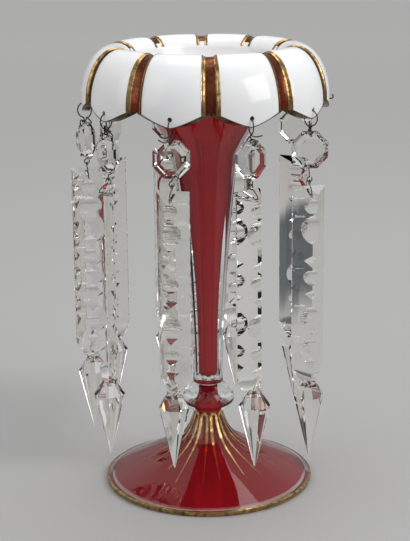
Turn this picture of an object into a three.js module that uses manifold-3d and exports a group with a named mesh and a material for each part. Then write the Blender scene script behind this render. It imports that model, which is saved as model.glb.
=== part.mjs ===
// A ruby-lined glass vase with a white petalled crown, hung with cut-glass drops.
// Millimetres, +Z up. The origin is on the vase's axis, at the level of its standing ring.
// Azimuths are in degrees from the front (-Y), growing towards the right (+X).

import * as THREE from "three";
import { mergeVertices } from "three/addons/utils/BufferGeometryUtils.js";
import Module from "manifold-3d";

const wasm = await Module();
wasm.setup();

// Clearance between pieces that touch
const GAP = 0.3;

// Foot
const FOOT_RADIUS = 70.7;
const FOOT_EDGE_HEIGHT = 3.2;
const FOOT_CONE_HEIGHT = 34.5; // where the cone would reach the neck
const FOOT_TRUMPET_HEIGHT = 15; // what the trumpet adds to the cone at the neck
const FOOT_TRUMPET_REACH = 4.3; // how fast that fades out, in radius
const FOOT_GLASS = 3;
const FOOT_EDGE_ROUNDING = 1.5;
const FOOT_RING_WIDTH = 4.5;
const FOOT_HOLLOW_STEP = 1.8; // height of the ring's inner edge
const FOOT_LINING_MARGIN = 9; // clear glass between the ruby's edge and the foot's edge
const NECK_RADIUS = 9.7;

// Knop and collar
const KNOP_HEIGHT = 19.6;
const KNOP_RADIUS = 17.8;
const KNOP_END_RADIUS = 10.2;
const KNOP_BORE_RADIUS = 4.9;
const KNOP_BORE_START = 5.9; // above the knop's base, where the hollow has narrowed
const KNOP_CROWN_GLASS = 3.1; // solid glass over the hollow
const KNOP_BORE_DOME = 4;
const COLLAR_HEIGHT = 3.3;
const COLLAR_RADIUS = 10;
const COLLAR_ROUNDING = 0.9;

// Stem and crown
const STEM_LENGTH = 154.7;
const STEM_FOOT_RADIUS = 10;
const STEM_TOP_RADIUS = 21;
const STEM_BASE_GLASS = 1.8; // solid glass under the ruby
const STEM_CURVE = 1.6; // how late the stem widens towards the crown
const BORE_FOOT_RADIUS = 3.3;
const BORE_TOP_RADIUS = 14.5;
const BORE_CURVE = 2.2;
const BORE_FLOOR_ROUNDING = 3;
const CROWN_HEIGHT = 72;
const CROWN_RADIUS = 80.8;
const CROWN_WIDEST_DROP = 34; // from the top down to the widest level
const CREST_RADIUS = 59;
const LIP_WIDTH = 11; // from the crest in to the throat
const LIP_DROP = 10; // from the crest down to the throat
const OVERLAY_GLASS = 1.2;
const RUBY_GLASS = 1;
const CROWN_CASING_GLASS = 1.3;
const FLARE_FULLNESS = 0.065; // how far the flare bulges beyond a plain cone
const THROAT_WHITE_DEPTH = 38; // how far below the top the white ends
const PANELS = 10;

// Petals
const PETALS = 10;
const PETAL_1_AT = -87.4;
const HEM_TIP_DROP = 42.4; // from the top down to a petal's tip
const HEM_RISE = 9.9; // from a petal's tip up to the slot's foot
const HEM_CURVE = 1.5;
const SLOT_WIDTH_TOP = 8.6;
const SLOT_WIDTH_HEM = 11;
const SLOT_START_DROP = 5.5; // below the top, inside the lip
const RIM_HOLE_RADIUS = 1.5;
const RIM_HOLE_INSET = 5.5; // above the petal's tip

// Wires and pins
const WIRE_RADIUS = 0.5;
const RIM_LOOP_HALF_WIDTH = 5;
const RIM_LOOP_HALF_HEIGHT = 5.2;
const RIM_WIRE_REACH = 16.1; // from the rim hole down to the octagon's pivot
const PIN_RADIUS = 0.4;
const PIN_HEAD_RADIUS = 1;
const PIN_HEAD_HEIGHT = 0.6;
const EYE_RADIUS = 1.6;
const EYE_REACH = 5.6; // from the pin down to the middle of its eye

// Octagons
const OCTAGON_WIDTH = 23;
const OCTAGON_HEIGHT = 23.5;
const OCTAGON_DEPTH = 8.4;
const OCTAGON_EDGE = 2.8;
const OCTAGON_TABLE = 13;
const DROP_HOLE_RADIUS = 1.1;
const OCTAGON_HOLE_INSET = 2.3;

// Prisms
const PRISM_LENGTH = 180;
const PRISM_WIDTH = 21;
const PRISM_BACK = 3; // from the hanging line to the flat back
const PRISM_RIDGE = 9; // from the hanging line to the ridge
const PRISM_EDGE = 1.2;
const PRISM_BEVEL_WIDTH = 3; // the narrow facet beside each edge
const PRISM_BEVEL_RISE = 3;
const PRISM_HOLE_INSET = 5;
const HOOK_STANDOFF = 1.5; // from the prism's slanted top out to the hook
const PRISM_CLEARANCE = 0.6; // between the hook and the prism's top
const SPEAR_LENGTH = 50;
const SPEAR_RADIUS = 10.2; // to the corners of its eight sides
const SPEAR_SHOULDER = 8.5;
const PRISM_NECK_WIDTH = 9.5;
const PRISM_NECK_LENGTH = 1.5;
const PRISM_NECK_DEPTH = 0.7; // share of the prism's depth left at the neck
const PRISM_TAPER = 9;
const PRISM_TOP_SLANT = 8; // from the back edge of the top down to the ridge
const SPEAR_TIP_RADIUS = 0.5;
const SPEAR_SIDES = 8;

// The way each drop's octagon and prism face, how much shorter its rim wire is and how
// much longer its eye pin is than the rest, in mm. The sixth petal has no drop.
const DROPS = [
  { number: 1, octagon: -62, prism: 12, raised: 1.3, lengthened: -1 },
  { number: 2, octagon: -55, prism: -88, raised: 0, lengthened: 0 },
  { number: 3, octagon: -10, prism: -15, raised: 1.3, lengthened: 0 },
  { number: 4, octagon: 40, prism: 45, raised: 0, lengthened: -1 },
  { number: 5, octagon: 8, prism: 12, raised: 0.6, lengthened: 3.5 },
  { number: 7, octagon: 175, prism: 150, raised: 0, lengthened: 0 },
  { number: 8, octagon: 160, prism: 185, raised: 0, lengthened: 0 },
  { number: 9, octagon: 215, prism: 190, raised: 0, lengthened: 0 },
  { number: 10, octagon: 240, prism: 225, raised: 0, lengthened: 0 },
];
const BARE_PETAL = 6;

// Levels, from the floor up
const FOOT_TOP = FOOT_CONE_HEIGHT + FOOT_TRUMPET_HEIGHT;
const KNOP_BASE = FOOT_TOP + GAP;
const COLLAR_BASE = KNOP_BASE + KNOP_HEIGHT + GAP;
const STEM_BASE = COLLAR_BASE + COLLAR_HEIGHT + GAP;
const CROWN_BASE = STEM_BASE + STEM_LENGTH;
const TOP = CROWN_BASE + CROWN_HEIGHT;
const HEM_TIP = TOP - HEM_TIP_DROP;
const RIM_HOLE = HEM_TIP + RIM_HOLE_INSET;
const WIDEST = TOP - CROWN_WIDEST_DROP;
const THROAT = TOP - LIP_DROP;

// Depths below the crown's visible surface at which each layer starts
const RUBY_DEPTH = OVERLAY_GLASS + GAP;
const CASING_DEPTH = RUBY_DEPTH + RUBY_GLASS + GAP;
const CROWN_GLASS = CASING_DEPTH + CROWN_CASING_GLASS;

// A drop's levels, from the rim down. Each piece hangs on the one above it.
const OCTAGON_PIVOT = RIM_HOLE - RIM_WIRE_REACH;
const OCTAGON_TOP_HOLE = OCTAGON_PIVOT - (DROP_HOLE_RADIUS - WIRE_RADIUS - GAP);
const OCTAGON_MIDDLE = OCTAGON_TOP_HOLE + OCTAGON_HOLE_INSET - OCTAGON_HEIGHT / 2;
const OCTAGON_LOW_HOLE = 2 * OCTAGON_MIDDLE - OCTAGON_TOP_HOLE;
const PIN_DROP = DROP_HOLE_RADIUS - PIN_RADIUS - GAP;

// Half the octagon's thickness at its holes, where the bevel has already thinned it
const BEVEL_SHARE = (2 * (OCTAGON_HOLE_INSET + DROP_HOLE_RADIUS)) / (OCTAGON_WIDTH - OCTAGON_TABLE);
const OCTAGON_HOLE_HALF = THREE.MathUtils.lerp(OCTAGON_EDGE, OCTAGON_DEPTH, BEVEL_SHARE) / 2;
const EYE_PIN = OCTAGON_LOW_HOLE - PIN_DROP;
const EYE_MIDDLE = EYE_PIN - EYE_REACH;
const EYE_FOOT = EYE_MIDDLE - EYE_RADIUS;
const HOOK_TOP = EYE_FOOT + 2 * PIN_RADIUS + GAP;
const HOOK_MIDDLE = HOOK_TOP - EYE_RADIUS;
const PRISM_TOP = HOOK_MIDDLE - EYE_RADIUS - PIN_RADIUS - PRISM_CLEARANCE;
const PRISM_HOLE = PRISM_TOP - PRISM_HOLE_INSET;
const HOOK_PIN = PRISM_HOLE + PIN_DROP;

// The hanging line of every drop goes through the middle of the hem's glass
const HEM_LEVEL = Math.asin((RIM_HOLE - WIDEST) / CROWN_WIDEST_DROP);
const FLATNESS = Math.cos(Math.PI / (4 * PETALS)); // middle of a facet, as a share of its corners
const HANG_RADIUS = FLATNESS * (CREST_RADIUS
  + (CROWN_RADIUS - CREST_RADIUS) * Math.cos(HEM_LEVEL) - CROWN_GLASS / 2);

// How finely round pieces are divided
const ROUND = 4 * PETALS;
const FOOT_ROUND = 3 * PETALS;
const SMALL_ROUND = 2 * PETALS;
const FLARE_SHARES = [0, 0.25, 0.5, 0.78];
const RIM_STEPS = 5;
const KNOP_STEPS = 3;
const FOOT_STEPS = 7;
const FOOT_SPACING = 2.2; // crowds the foot's rings towards the neck
const HOLE_SIDES = 6;
const WIRE_SIDES = 4;

const radians = THREE.MathUtils.degToRad;
const lerp = THREE.MathUtils.lerp;

const MATERIALS = {
  clear: { color: 0xe9eef0, roughness: 0.04, metalness: 0 },
  ruby: { color: 0x7a1a20, roughness: 0.06, metalness: 0 },
  white: { color: 0xf2f3f5, roughness: 0.12, metalness: 0 },
  wire: { color: 0x2f2b28, roughness: 0.5, metalness: 0.8 },
};

// Mesh tools

// A closed surface from rings of points. Each ring has the same number of points.
// Rings are joined in a circle, or capped at both ends. Each four-sided gap is split along its
// shorter diagonal, so that layers nested in each other are split alike.
function skinned(rings, { circular = false } = {}) {
  const sides = rings[0].length;
  const positions = rings.flat().flatMap((p) => [p.x, p.y, p.z]);
  const index = [];
  const last = circular ? rings.length : rings.length - 1;
  for (let i = 0; i < last; i += 1) {
    const next = (i + 1) % rings.length;
    for (let j = 0; j < sides; j += 1) {
      const k = (j + 1) % sides;
      const [a, b, c, d] = [i * sides + j, i * sides + k, next * sides + k, next * sides + j];
      const straight = rings[i][j].distanceTo(rings[next][k]);
      const crossed = rings[i][k].distanceTo(rings[next][j]);
      if (straight <= crossed) index.push(a, b, c, a, c, d);
      else index.push(a, b, d, b, c, d);
    }
  }
  if (!circular) {
    for (let j = 1; j < sides - 1; j += 1) {
      index.push(0, j + 1, j);
      const end = (rings.length - 1) * sides;
      index.push(end, end + j, end + j + 1);
    }
  }
  const geometry = new THREE.BufferGeometry();
  geometry.setAttribute("position", new THREE.Float32BufferAttribute(positions, 3));
  geometry.setIndex(index);
  return facingOut(geometry);
}

// The same geometry with shared vertices merged, no empty triangles, and its faces outwards
function facingOut(source) {
  const bare = source.clone();
  bare.deleteAttribute("normal");
  bare.deleteAttribute("uv");
  const geometry = mergeVertices(bare, 1e-4);
  const corners = geometry.index.array;
  const kept = [];
  for (let i = 0; i < corners.length; i += 3) {
    const [a, b, c] = corners.slice(i, i + 3);
    if (a !== b && b !== c && c !== a) kept.push(a, b, c);
  }
  const turned = volume(geometry, kept) < 0
    ? kept.map((_, i) => kept[i - (i % 3) + [0, 2, 1][i % 3]])
    : kept;
  geometry.setIndex(turned);
  return geometry;
}

function volume(geometry, corners) {
  const at = geometry.attributes.position;
  const [a, b, c] = [new THREE.Vector3(), new THREE.Vector3(), new THREE.Vector3()];
  let total = 0;
  for (let i = 0; i < corners.length; i += 3) {
    a.fromBufferAttribute(at, corners[i]);
    b.fromBufferAttribute(at, corners[i + 1]);
    c.fromBufferAttribute(at, corners[i + 2]);
    total += a.dot(b.cross(c)) / 6;
  }
  return total;
}

// A closed profile turned round the axis. It can change with the azimuth.
function turned(profileAt, divisions = ROUND) {
  const rings = [];
  for (let i = 0; i < divisions; i += 1) {
    const azimuth = PETAL_1_AT + (i * 360) / divisions;
    rings.push(profileAt(azimuth).map(([r, z]) => around(azimuth, r, z)));
  }
  return skinned(rings, { circular: true });
}

function around(azimuth, r, z) {
  const a = radians(azimuth);
  return new THREE.Vector3(r * Math.sin(a), -r * Math.cos(a), z);
}

function solid(geometry) {
  const clean = facingOut(geometry);
  return new wasm.Manifold(new wasm.Mesh({
    numProp: 3,
    vertProperties: new Float32Array(clean.attributes.position.array),
    triVerts: new Uint32Array(clean.index.array),
  }));
}

function cut(geometry, cutters) {
  const body = cutters.reduce((left, cutter) => left.subtract(solid(cutter)), solid(geometry));
  const mesh = body.getMesh();
  const result = new THREE.BufferGeometry();
  result.setAttribute("position", new THREE.Float32BufferAttribute(mesh.vertProperties, 3));
  result.setIndex(Array.from(mesh.triVerts));
  return result;
}

// A round cutter along a direction in the horizontal plane, given by its azimuth
function drill(radius, length, azimuth, distance, z) {
  const cutter = new THREE.CylinderGeometry(radius, radius, length, HOLE_SIDES);
  cutter.rotateZ(radians(azimuth));
  const middle = around(azimuth, distance, z);
  return cutter.translate(middle.x, middle.y, middle.z);
}

// A bent wire: a tube through points, each of which may have a radius of its own
function wire(points, radius) {
  const places = points.map((p) => new THREE.Vector3(p[0], p[1], p[2]));
  const along = places.map((_, i) => {
    const before = places[Math.max(i - 1, 0)];
    const after = places[Math.min(i + 1, places.length - 1)];
    return after.clone().sub(before).normalize();
  });
  const side = new THREE.Vector3(0, 0, 1);
  if (Math.abs(side.dot(along[0])) > 0.9) side.set(0, 1, 0);
  const rings = places.map((place, i) => {
    side.addScaledVector(along[i], -side.dot(along[i])).normalize();
    const other = along[i].clone().cross(side);
    const size = points[i][3] ?? radius;
    return Array.from({ length: WIRE_SIDES }, (_, k) => {
      const a = (k * 2 * Math.PI) / WIRE_SIDES;
      return place.clone()
        .addScaledVector(side, size * Math.cos(a))
        .addScaledVector(other, size * Math.sin(a));
    });
  });
  return skinned(rings);
}

// The crown's outlines

// Share of a half petal from its middle (0) to the middle of the slot (1)
function petalShare(azimuth) {
  const pitch = 360 / PETALS;
  const turn = (((azimuth - PETAL_1_AT) % pitch) + pitch) % pitch;
  return Math.min(turn, pitch - turn) / (pitch / 2);
}

function hem(azimuth) {
  return HEM_TIP + HEM_RISE * petalShare(azimuth) ** HEM_CURVE;
}

// Rim outline at a depth below the visible surface, from the hem over the crest to the throat
function rim(azimuth, depth) {
  const wide = CROWN_RADIUS - CREST_RADIUS - depth;
  const tall = CROWN_WIDEST_DROP - depth;
  const start = Math.asin((hem(azimuth) - WIDEST) / tall);
  const points = [];
  for (let i = 0; i <= RIM_STEPS; i += 1) {
    const a = lerp(start, Math.PI / 2, i / RIM_STEPS);
    points.push([CREST_RADIUS + wide * Math.cos(a), WIDEST + tall * Math.sin(a)]);
  }
  for (let i = 1; i <= 2; i += 1) {
    const a = lerp(Math.PI / 2, 0, i / 2);
    const r = CREST_RADIUS - (LIP_WIDTH - depth) * Math.cos(a);
    points.push([r, THROAT + (LIP_DROP - depth) * Math.sin(a)]);
  }
  return points;
}

// Radius of the crown's wall below the throat: 0 at the crown's base, 1 at the throat
function flare(share, base, throat) {
  return lerp(base, throat, share + FLARE_FULLNESS * Math.sin(Math.PI * share) ** 2);
}

function throatRadius(depth) {
  return CREST_RADIUS - LIP_WIDTH + depth;
}

// The ruby's inner surface, from just below the throat down to its round bottom
function bore(extra) {
  const points = [];
  for (const share of FLARE_SHARES.toReversed()) {
    const r = flare(share, BORE_TOP_RADIUS, throatRadius(RUBY_DEPTH));
    points.push([r + extra, lerp(CROWN_BASE, THROAT, share)]);
  }
  const low = STEM_BASE + STEM_BASE_GLASS + BORE_FLOOR_ROUNDING;
  for (const share of [0.75, 0.45, 0]) {
    const r = lerp(BORE_FOOT_RADIUS, BORE_TOP_RADIUS, share ** BORE_CURVE);
    points.push([r + extra, lerp(low, CROWN_BASE, share)]);
  }
  points.push([0, STEM_BASE + STEM_BASE_GLASS + RUBY_GLASS + GAP - extra]);
  return points;
}

// The panel-cut outside of the stem and crown, from the foot of the stem up to the throat
function stemOutside(azimuth) {
  const points = [];
  for (const share of [0, 0.25, 0.5, 0.75]) {
    const r = lerp(STEM_FOOT_RADIUS, STEM_TOP_RADIUS, share ** STEM_CURVE);
    points.push([r * panel(azimuth), STEM_BASE + share * STEM_LENGTH]);
  }
  for (const share of FLARE_SHARES) {
    const r = flare(share, STEM_TOP_RADIUS, throatRadius(CROWN_GLASS));
    points.push([r * lerp(panel(azimuth), 1, share), lerp(CROWN_BASE, THROAT, share)]);
  }
  return points;
}

// Radius of a regular polygon with its corners at 1
function panel(azimuth) {
  const half = 180 / PANELS;
  const turn = (((azimuth - PETAL_1_AT) % (2 * half)) + 2 * half) % (2 * half);
  return Math.cos(radians(half)) / Math.cos(radians(turn - half));
}

// Glass body

function whiteOverlay() {
  const lowest = TOP - THROAT_WHITE_DEPTH;
  const share = (lowest - CROWN_BASE) / (THROAT - CROWN_BASE);
  const wall = (s) => flare(s, BORE_TOP_RADIUS, throatRadius(RUBY_DEPTH)) - RUBY_DEPTH;
  const shell = turned((azimuth) => {
    const levels = [...FLARE_SHARES.filter((s) => s > share).toReversed(), share];
    const inside = levels.map((s) => [wall(s), lerp(CROWN_BASE, THROAT, s)]);
    const outside = inside.map(([r, z]) => [r + OVERLAY_GLASS, z]).toReversed();
    return [...rim(azimuth, 0), ...inside, ...outside, ...rim(azimuth, OVERLAY_GLASS).toReversed()];
  });
  return cut(shell, [...slots(), ...rimHoles()]);
}

// One cutter for each slot, wider at the hem than at the crest
function slots() {
  const high = TOP + CROWN_GLASS;
  const low = HEM_TIP - CROWN_GLASS;
  const inner = CREST_RADIUS - LIP_WIDTH * Math.cos(Math.asin(1 - SLOT_START_DROP / LIP_DROP));
  const reach = CROWN_RADIUS + CROWN_GLASS - inner;
  const outline = new THREE.Shape([
    new THREE.Vector2(-SLOT_WIDTH_HEM / 2, low),
    new THREE.Vector2(SLOT_WIDTH_HEM / 2, low),
    new THREE.Vector2(SLOT_WIDTH_TOP / 2, high),
    new THREE.Vector2(-SLOT_WIDTH_TOP / 2, high),
  ]);
  return Array.from({ length: PETALS }, (_, i) => {
    const cutter = new THREE.ExtrudeGeometry(outline, { depth: reach, bevelEnabled: false });
    cutter.rotateX(Math.PI / 2).translate(0, -inner, 0);
    return cutter.rotateZ(radians(PETAL_1_AT + ((i + 0.5) * 360) / PETALS));
  });
}

function rimHoles() {
  const length = 4 * CROWN_GLASS;
  return Array.from({ length: PETALS }, (_, i) => (
    drill(RIM_HOLE_RADIUS, length, PETAL_1_AT + (i * 360) / PETALS, HANG_RADIUS, RIM_HOLE)
  ));
}

function stemLining() {
  const shell = turned((azimuth) => [
    ...rim(azimuth, RUBY_DEPTH),
    ...bore(0),
    ...bore(RUBY_GLASS).toReversed(),
    ...rim(azimuth, RUBY_DEPTH + RUBY_GLASS).toReversed(),
  ]);
  return cut(shell, rimHoles());
}

function stemCasing() {
  const shell = turned((azimuth) => [
    ...rim(azimuth, CASING_DEPTH),
    ...bore(RUBY_GLASS + GAP),
    [0, STEM_BASE],
    ...stemOutside(azimuth),
    ...rim(azimuth, CROWN_GLASS).toReversed(),
  ]);
  return cut(shell, rimHoles());
}

function collar() {
  const edge = COLLAR_RADIUS - COLLAR_ROUNDING;
  const top = COLLAR_BASE + COLLAR_HEIGHT;
  return turned(() => [
    [0, COLLAR_BASE],
    [edge, COLLAR_BASE],
    [COLLAR_RADIUS, COLLAR_BASE + COLLAR_ROUNDING],
    [COLLAR_RADIUS, top - COLLAR_ROUNDING],
    [edge, top],
    [0, top],
  ], SMALL_ROUND);
}

// Outline of the hollow in the knop that the ruby fills, from the bottom up to its closed end
function knopHollow(extra) {
  const radius = KNOP_BORE_RADIUS - GAP + extra;
  const closed = KNOP_BASE + KNOP_HEIGHT - KNOP_CROWN_GLASS + extra;
  return [
    [radius, KNOP_BASE + KNOP_BORE_START],
    [radius, closed - KNOP_BORE_DOME],
    [radius * 0.7, closed - KNOP_BORE_DOME / 4],
    [0, closed],
  ];
}

function knop() {
  const middle = KNOP_HEIGHT / 2;
  const squash = middle / Math.sqrt(1 - (KNOP_END_RADIUS / KNOP_RADIUS) ** 2);
  const outside = [];
  for (let i = -KNOP_STEPS; i <= KNOP_STEPS; i += 1) {
    const z = (i / KNOP_STEPS) * middle;
    const r = KNOP_RADIUS * Math.sqrt(1 - (z / squash) ** 2);
    outside.push([r, KNOP_BASE + middle + z]);
  }
  const mouth = [NECK_RADIUS - FOOT_GLASS, KNOP_BASE];
  return turned(() => [...outside, ...knopHollow(GAP).toReversed(), mouth], SMALL_ROUND);
}

// Foot outline from the neck to the edge, at a depth under the surface
function footOutline(depth) {
  const slope = (FOOT_CONE_HEIGHT - FOOT_EDGE_HEIGHT) / (FOOT_RADIUS - NECK_RADIUS);
  const points = [];
  for (let i = 0; i <= FOOT_STEPS; i += 1) {
    const out = (FOOT_RADIUS - NECK_RADIUS) * (i / FOOT_STEPS) ** FOOT_SPACING;
    const lift = FOOT_TRUMPET_HEIGHT * Math.exp(-out / FOOT_TRUMPET_REACH);
    const fall = slope + lift / FOOT_TRUMPET_REACH;
    const length = Math.hypot(1, fall);
    const r = NECK_RADIUS + out - (depth * fall) / length;
    points.push([r, FOOT_CONE_HEIGHT - slope * out + lift - depth / length]);
  }
  return points;
}

function foot() {
  const ring = FOOT_RADIUS - FOOT_EDGE_ROUNDING;
  const hollow = ring - FOOT_RING_WIDTH;
  const inside = footOutline(FOOT_GLASS).filter(([r]) => r < hollow - FOOT_HOLLOW_STEP);
  return turned((azimuth) => {
    const roundness = (i) => Math.min(1, i / (FOOT_STEPS - 1));
    const outside = footOutline(0).map(([r, z], i) => [r * lerp(panel(azimuth), 1, roundness(i)), z]);
    return [
      ...outside,
      [FOOT_RADIUS - FOOT_EDGE_ROUNDING / 4, FOOT_EDGE_ROUNDING / 2],
      [ring, 0],
      [hollow, 0],
      [hollow - FOOT_HOLLOW_STEP / 2, FOOT_HOLLOW_STEP],
      ...inside.toReversed(),
      [NECK_RADIUS - FOOT_GLASS, FOOT_TOP],
    ];
  }, FOOT_ROUND);
}

function footLining() {
  const edge = FOOT_RADIUS - FOOT_LINING_MARGIN;
  const layer = (depth) => footOutline(depth).filter(([r, z]) => r < edge && z < FOOT_TOP - 1);
  const outer = layer(FOOT_GLASS + GAP);
  const inner = layer(FOOT_GLASS + GAP + RUBY_GLASS);
  const neck = NECK_RADIUS - FOOT_GLASS - GAP;
  return turned(() => [
    ...knopHollow(0).toReversed(),
    [neck, FOOT_TOP],
    ...outer,
    ...inner.toReversed(),
    [neck - RUBY_GLASS, FOOT_TOP],
    ...knopHollow(-RUBY_GLASS),
  ], FOOT_ROUND);
}

// Drops. In a drop's own frame X points out from the axis and Z is up.
// A piece that faces another way has its X turned that way.

// Ring through the rim hole, then a loop with a straight foot through the octagon.
// faces is the octagon's way of facing, in degrees from the drop's X.
function rimWire(faces, raised) {
  const middle = RIM_HOLE - RIM_LOOP_HALF_HEIGHT;
  const side = faces > 0 ? -1 : 1;
  const points = [[1.6, 2 * side, middle - RIM_LOOP_HALF_HEIGHT - 1.2]];
  for (let i = 0; i <= 12; i += 1) {
    const a = radians(-60 + (i * 300) / 12);
    const shift = side * lerp(0.8, -0.8, i / 12);
    const [x, z] = [RIM_LOOP_HALF_WIDTH * Math.cos(a), RIM_LOOP_HALF_HEIGHT * Math.sin(a)];
    points.push([x, shift, middle + z]);
  }
  points.push([-0.4, -0.1 * side, middle - RIM_LOOP_HALF_HEIGHT - 0.5]);
  const half = OCTAGON_HOLE_HALF + GAP;
  const loop = [
    [half - 0.4, 3.6], [half + 0.4, 1.6], [half + 0.1, 0.3], [half - 0.6, 0],
    [0.6 - half, 0], [-half - 0.1, 0.3], [-half - 0.4, 1.6], [-1.9, 4.4],
  ];
  const a = radians(faces);
  for (const [q, lift] of loop) {
    points.push([q * Math.cos(a), q * Math.sin(a), OCTAGON_PIVOT + raised + lift]);
  }
  return wire(points, WIRE_RADIUS);
}

// All that is left on the bare petal: a short stub of wire bent round the hem
function bareWire() {
  const reach = CROWN_GLASS / 2 + WIRE_RADIUS + 2 * GAP;
  return wire([
    [reach + 1.9, 0.6, RIM_HOLE + 2.6],
    [reach + 2.6, 0.3, RIM_HOLE + 1.3],
    [reach + 1.7, 0, RIM_HOLE + 0.1],
    [reach, 0, RIM_HOLE],
    [-reach + 0.3, 0, RIM_HOLE],
    [-reach - 0.3, 0, RIM_HOLE - 0.7],
    [-reach - 0.4, 0.2, RIM_HOLE - 3],
  ], WIRE_RADIUS);
}

function octagon() {
  const outline = (width, height) => {
    const chamfer = 1 / (2 + Math.SQRT2);
    const [w, h, x, y] = [width / 2, height / 2, width * (0.5 - chamfer), height * (0.5 - chamfer)];
    return [[w, -y], [w, y], [x, h], [-x, h], [-w, y], [-w, -y], [-x, -h], [x, -h]];
  };
  const table = [OCTAGON_TABLE, OCTAGON_TABLE + OCTAGON_HEIGHT - OCTAGON_WIDTH];
  const slices = [
    [-OCTAGON_DEPTH / 2, ...table],
    [-OCTAGON_EDGE / 2, OCTAGON_WIDTH, OCTAGON_HEIGHT],
    [OCTAGON_EDGE / 2, OCTAGON_WIDTH, OCTAGON_HEIGHT],
    [OCTAGON_DEPTH / 2, ...table],
  ];
  const rings = slices.map(([x, width, height]) => (
    outline(width, height).map(([y, z]) => new THREE.Vector3(x, y, z))
  ));
  const up = OCTAGON_TOP_HOLE - OCTAGON_MIDDLE;
  return cut(skinned(rings), [up, -up].map((z) => crossHole(z)));
}

// A hole along the drop's X
function crossHole(z) {
  return drill(DROP_HOLE_RADIUS, 4 * OCTAGON_DEPTH, 90, 0, z);
}

// A circle in an upright plane at an angle to X, from one clock angle to another
function loopPoints(middle, plane, from, to, steps) {
  const p = radians(plane);
  return Array.from({ length: steps + 1 }, (_, i) => {
    const a = radians(lerp(from, to, i / steps));
    const q = EYE_RADIUS * Math.cos(a);
    return [q * Math.cos(p), q * Math.sin(p), middle + EYE_RADIUS * Math.sin(a)];
  });
}

// A pin's head and its shank along X, from the front face to the back face
function headedShank(front, back, z) {
  return [
    [front + PIN_HEAD_HEIGHT, 0, z, PIN_HEAD_RADIUS * 0.7],
    [front, 0, z, PIN_HEAD_RADIUS],
    [front - 0.1, 0, z],
    [-back, 0, z],
  ];
}

// The octagon's lower pin. eyePlane is the plane of its eye, in degrees from the pin's X.
function eyePin(eyePlane, lengthened) {
  const eye = EYE_MIDDLE - lengthened;
  const back = OCTAGON_HOLE_HALF;
  const points = headedShank(back + 2 * GAP, back + GAP, EYE_PIN);
  points.push([-back - 0.8, 0, EYE_PIN - 0.6]);
  points.push([-back - 0.4, 0, EYE_PIN - 2]);
  points.push([-back + 1.1, 0, EYE_PIN - 3.1]);
  points.push([-0.8, 0, eye + EYE_RADIUS + 0.5]);
  points.push(...loopPoints(eye, eyePlane, 90, 380, 8));
  return wire(points, PIN_RADIUS);
}

// The prism's pin: its head at the flat back, through the prism to the slanted top,
// and up to a hook in the eye
function hookPin() {
  const back = PRISM_BACK + GAP;
  const front = topSlantAt(HOOK_PIN - PRISM_TOP) + HOOK_STANDOFF;
  const points = headedShank(back, front, HOOK_PIN).map(([x, y, z, r]) => [-x, y, z, r]);
  points.push([front + 0.3, 0, HOOK_PIN + 0.8]);
  points.push([front - 0.2, 0, HOOK_PIN + 2.2]);
  points.push([2.4, 0, PRISM_TOP + 0.2]);
  points.push([1.2, 0, HOOK_MIDDLE - EYE_RADIUS]);
  points.push(...loopPoints(HOOK_MIDDLE, 180, -90, 180, 7));
  return wire(points, PIN_RADIUS);
}

// How far in front of the hanging line the slanted top is, at a depth below its back edge
function topSlantAt(z) {
  return -PRISM_BACK - (z * (PRISM_BACK + PRISM_RIDGE)) / PRISM_TOP_SLANT;
}

// The bar's outline from the middle of its flat back, round by its ridge
function barSection(width, back, ridge, z) {
  const bevelled = (width / 2) * (1 - (2 * PRISM_BEVEL_WIDTH) / PRISM_WIDTH);
  const side = PRISM_EDGE - back;
  const bevelTop = side + (PRISM_BEVEL_RISE * (ridge + back)) / (PRISM_RIDGE + PRISM_BACK);
  return [
    [-back, 0], [-back, width / 2], [side, width / 2], [bevelTop, bevelled], [ridge, 0],
    [bevelTop, -bevelled], [side, -width / 2], [-back, -width / 2],
  ].map(([x, y]) => new THREE.Vector3(x, y, z));
}

function spearSection(radius, z) {
  const middle = (PRISM_RIDGE - PRISM_BACK) / 2;
  return Array.from({ length: SPEAR_SIDES }, (_, i) => {
    const a = Math.PI - (i * 2 * Math.PI) / SPEAR_SIDES;
    return new THREE.Vector3(middle + radius * Math.cos(a), radius * Math.sin(a), z);
  });
}

function prism() {
  const neck = SPEAR_LENGTH - PRISM_LENGTH;
  const neckTop = neck + PRISM_NECK_LENGTH;
  const [b, r] = [PRISM_BACK, PRISM_RIDGE];
  const neckSize = [PRISM_NECK_WIDTH, b * PRISM_NECK_DEPTH, r * PRISM_NECK_DEPTH];
  const top = barSection(PRISM_WIDTH, b, r, 0);
  for (const corner of top) {
    corner.z = (-PRISM_TOP_SLANT * (corner.x + b)) / (b + r);
  }
  const rings = [
    spearSection(SPEAR_TIP_RADIUS, -PRISM_LENGTH),
    spearSection(SPEAR_RADIUS, neck - SPEAR_SHOULDER),
    barSection(...neckSize, neck),
    barSection(...neckSize, neckTop),
    barSection(PRISM_WIDTH, b, r, neckTop + PRISM_TAPER),
    top,
  ];
  return cut(skinned(rings), [crossHole(-PRISM_HOLE_INSET)]);
}

// Assembly

function named(name, geometry, material) {
  const mesh = new THREE.Mesh(geometry, material);
  mesh.name = name;
  return mesh;
}

function petalGroup(number) {
  const azimuth = PETAL_1_AT + ((number - 1) * 360) / PETALS;
  const group = new THREE.Group();
  group.position.copy(around(azimuth, HANG_RADIUS, 0));
  group.rotation.z = radians(azimuth - 90);
  return { group, azimuth };
}

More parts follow.
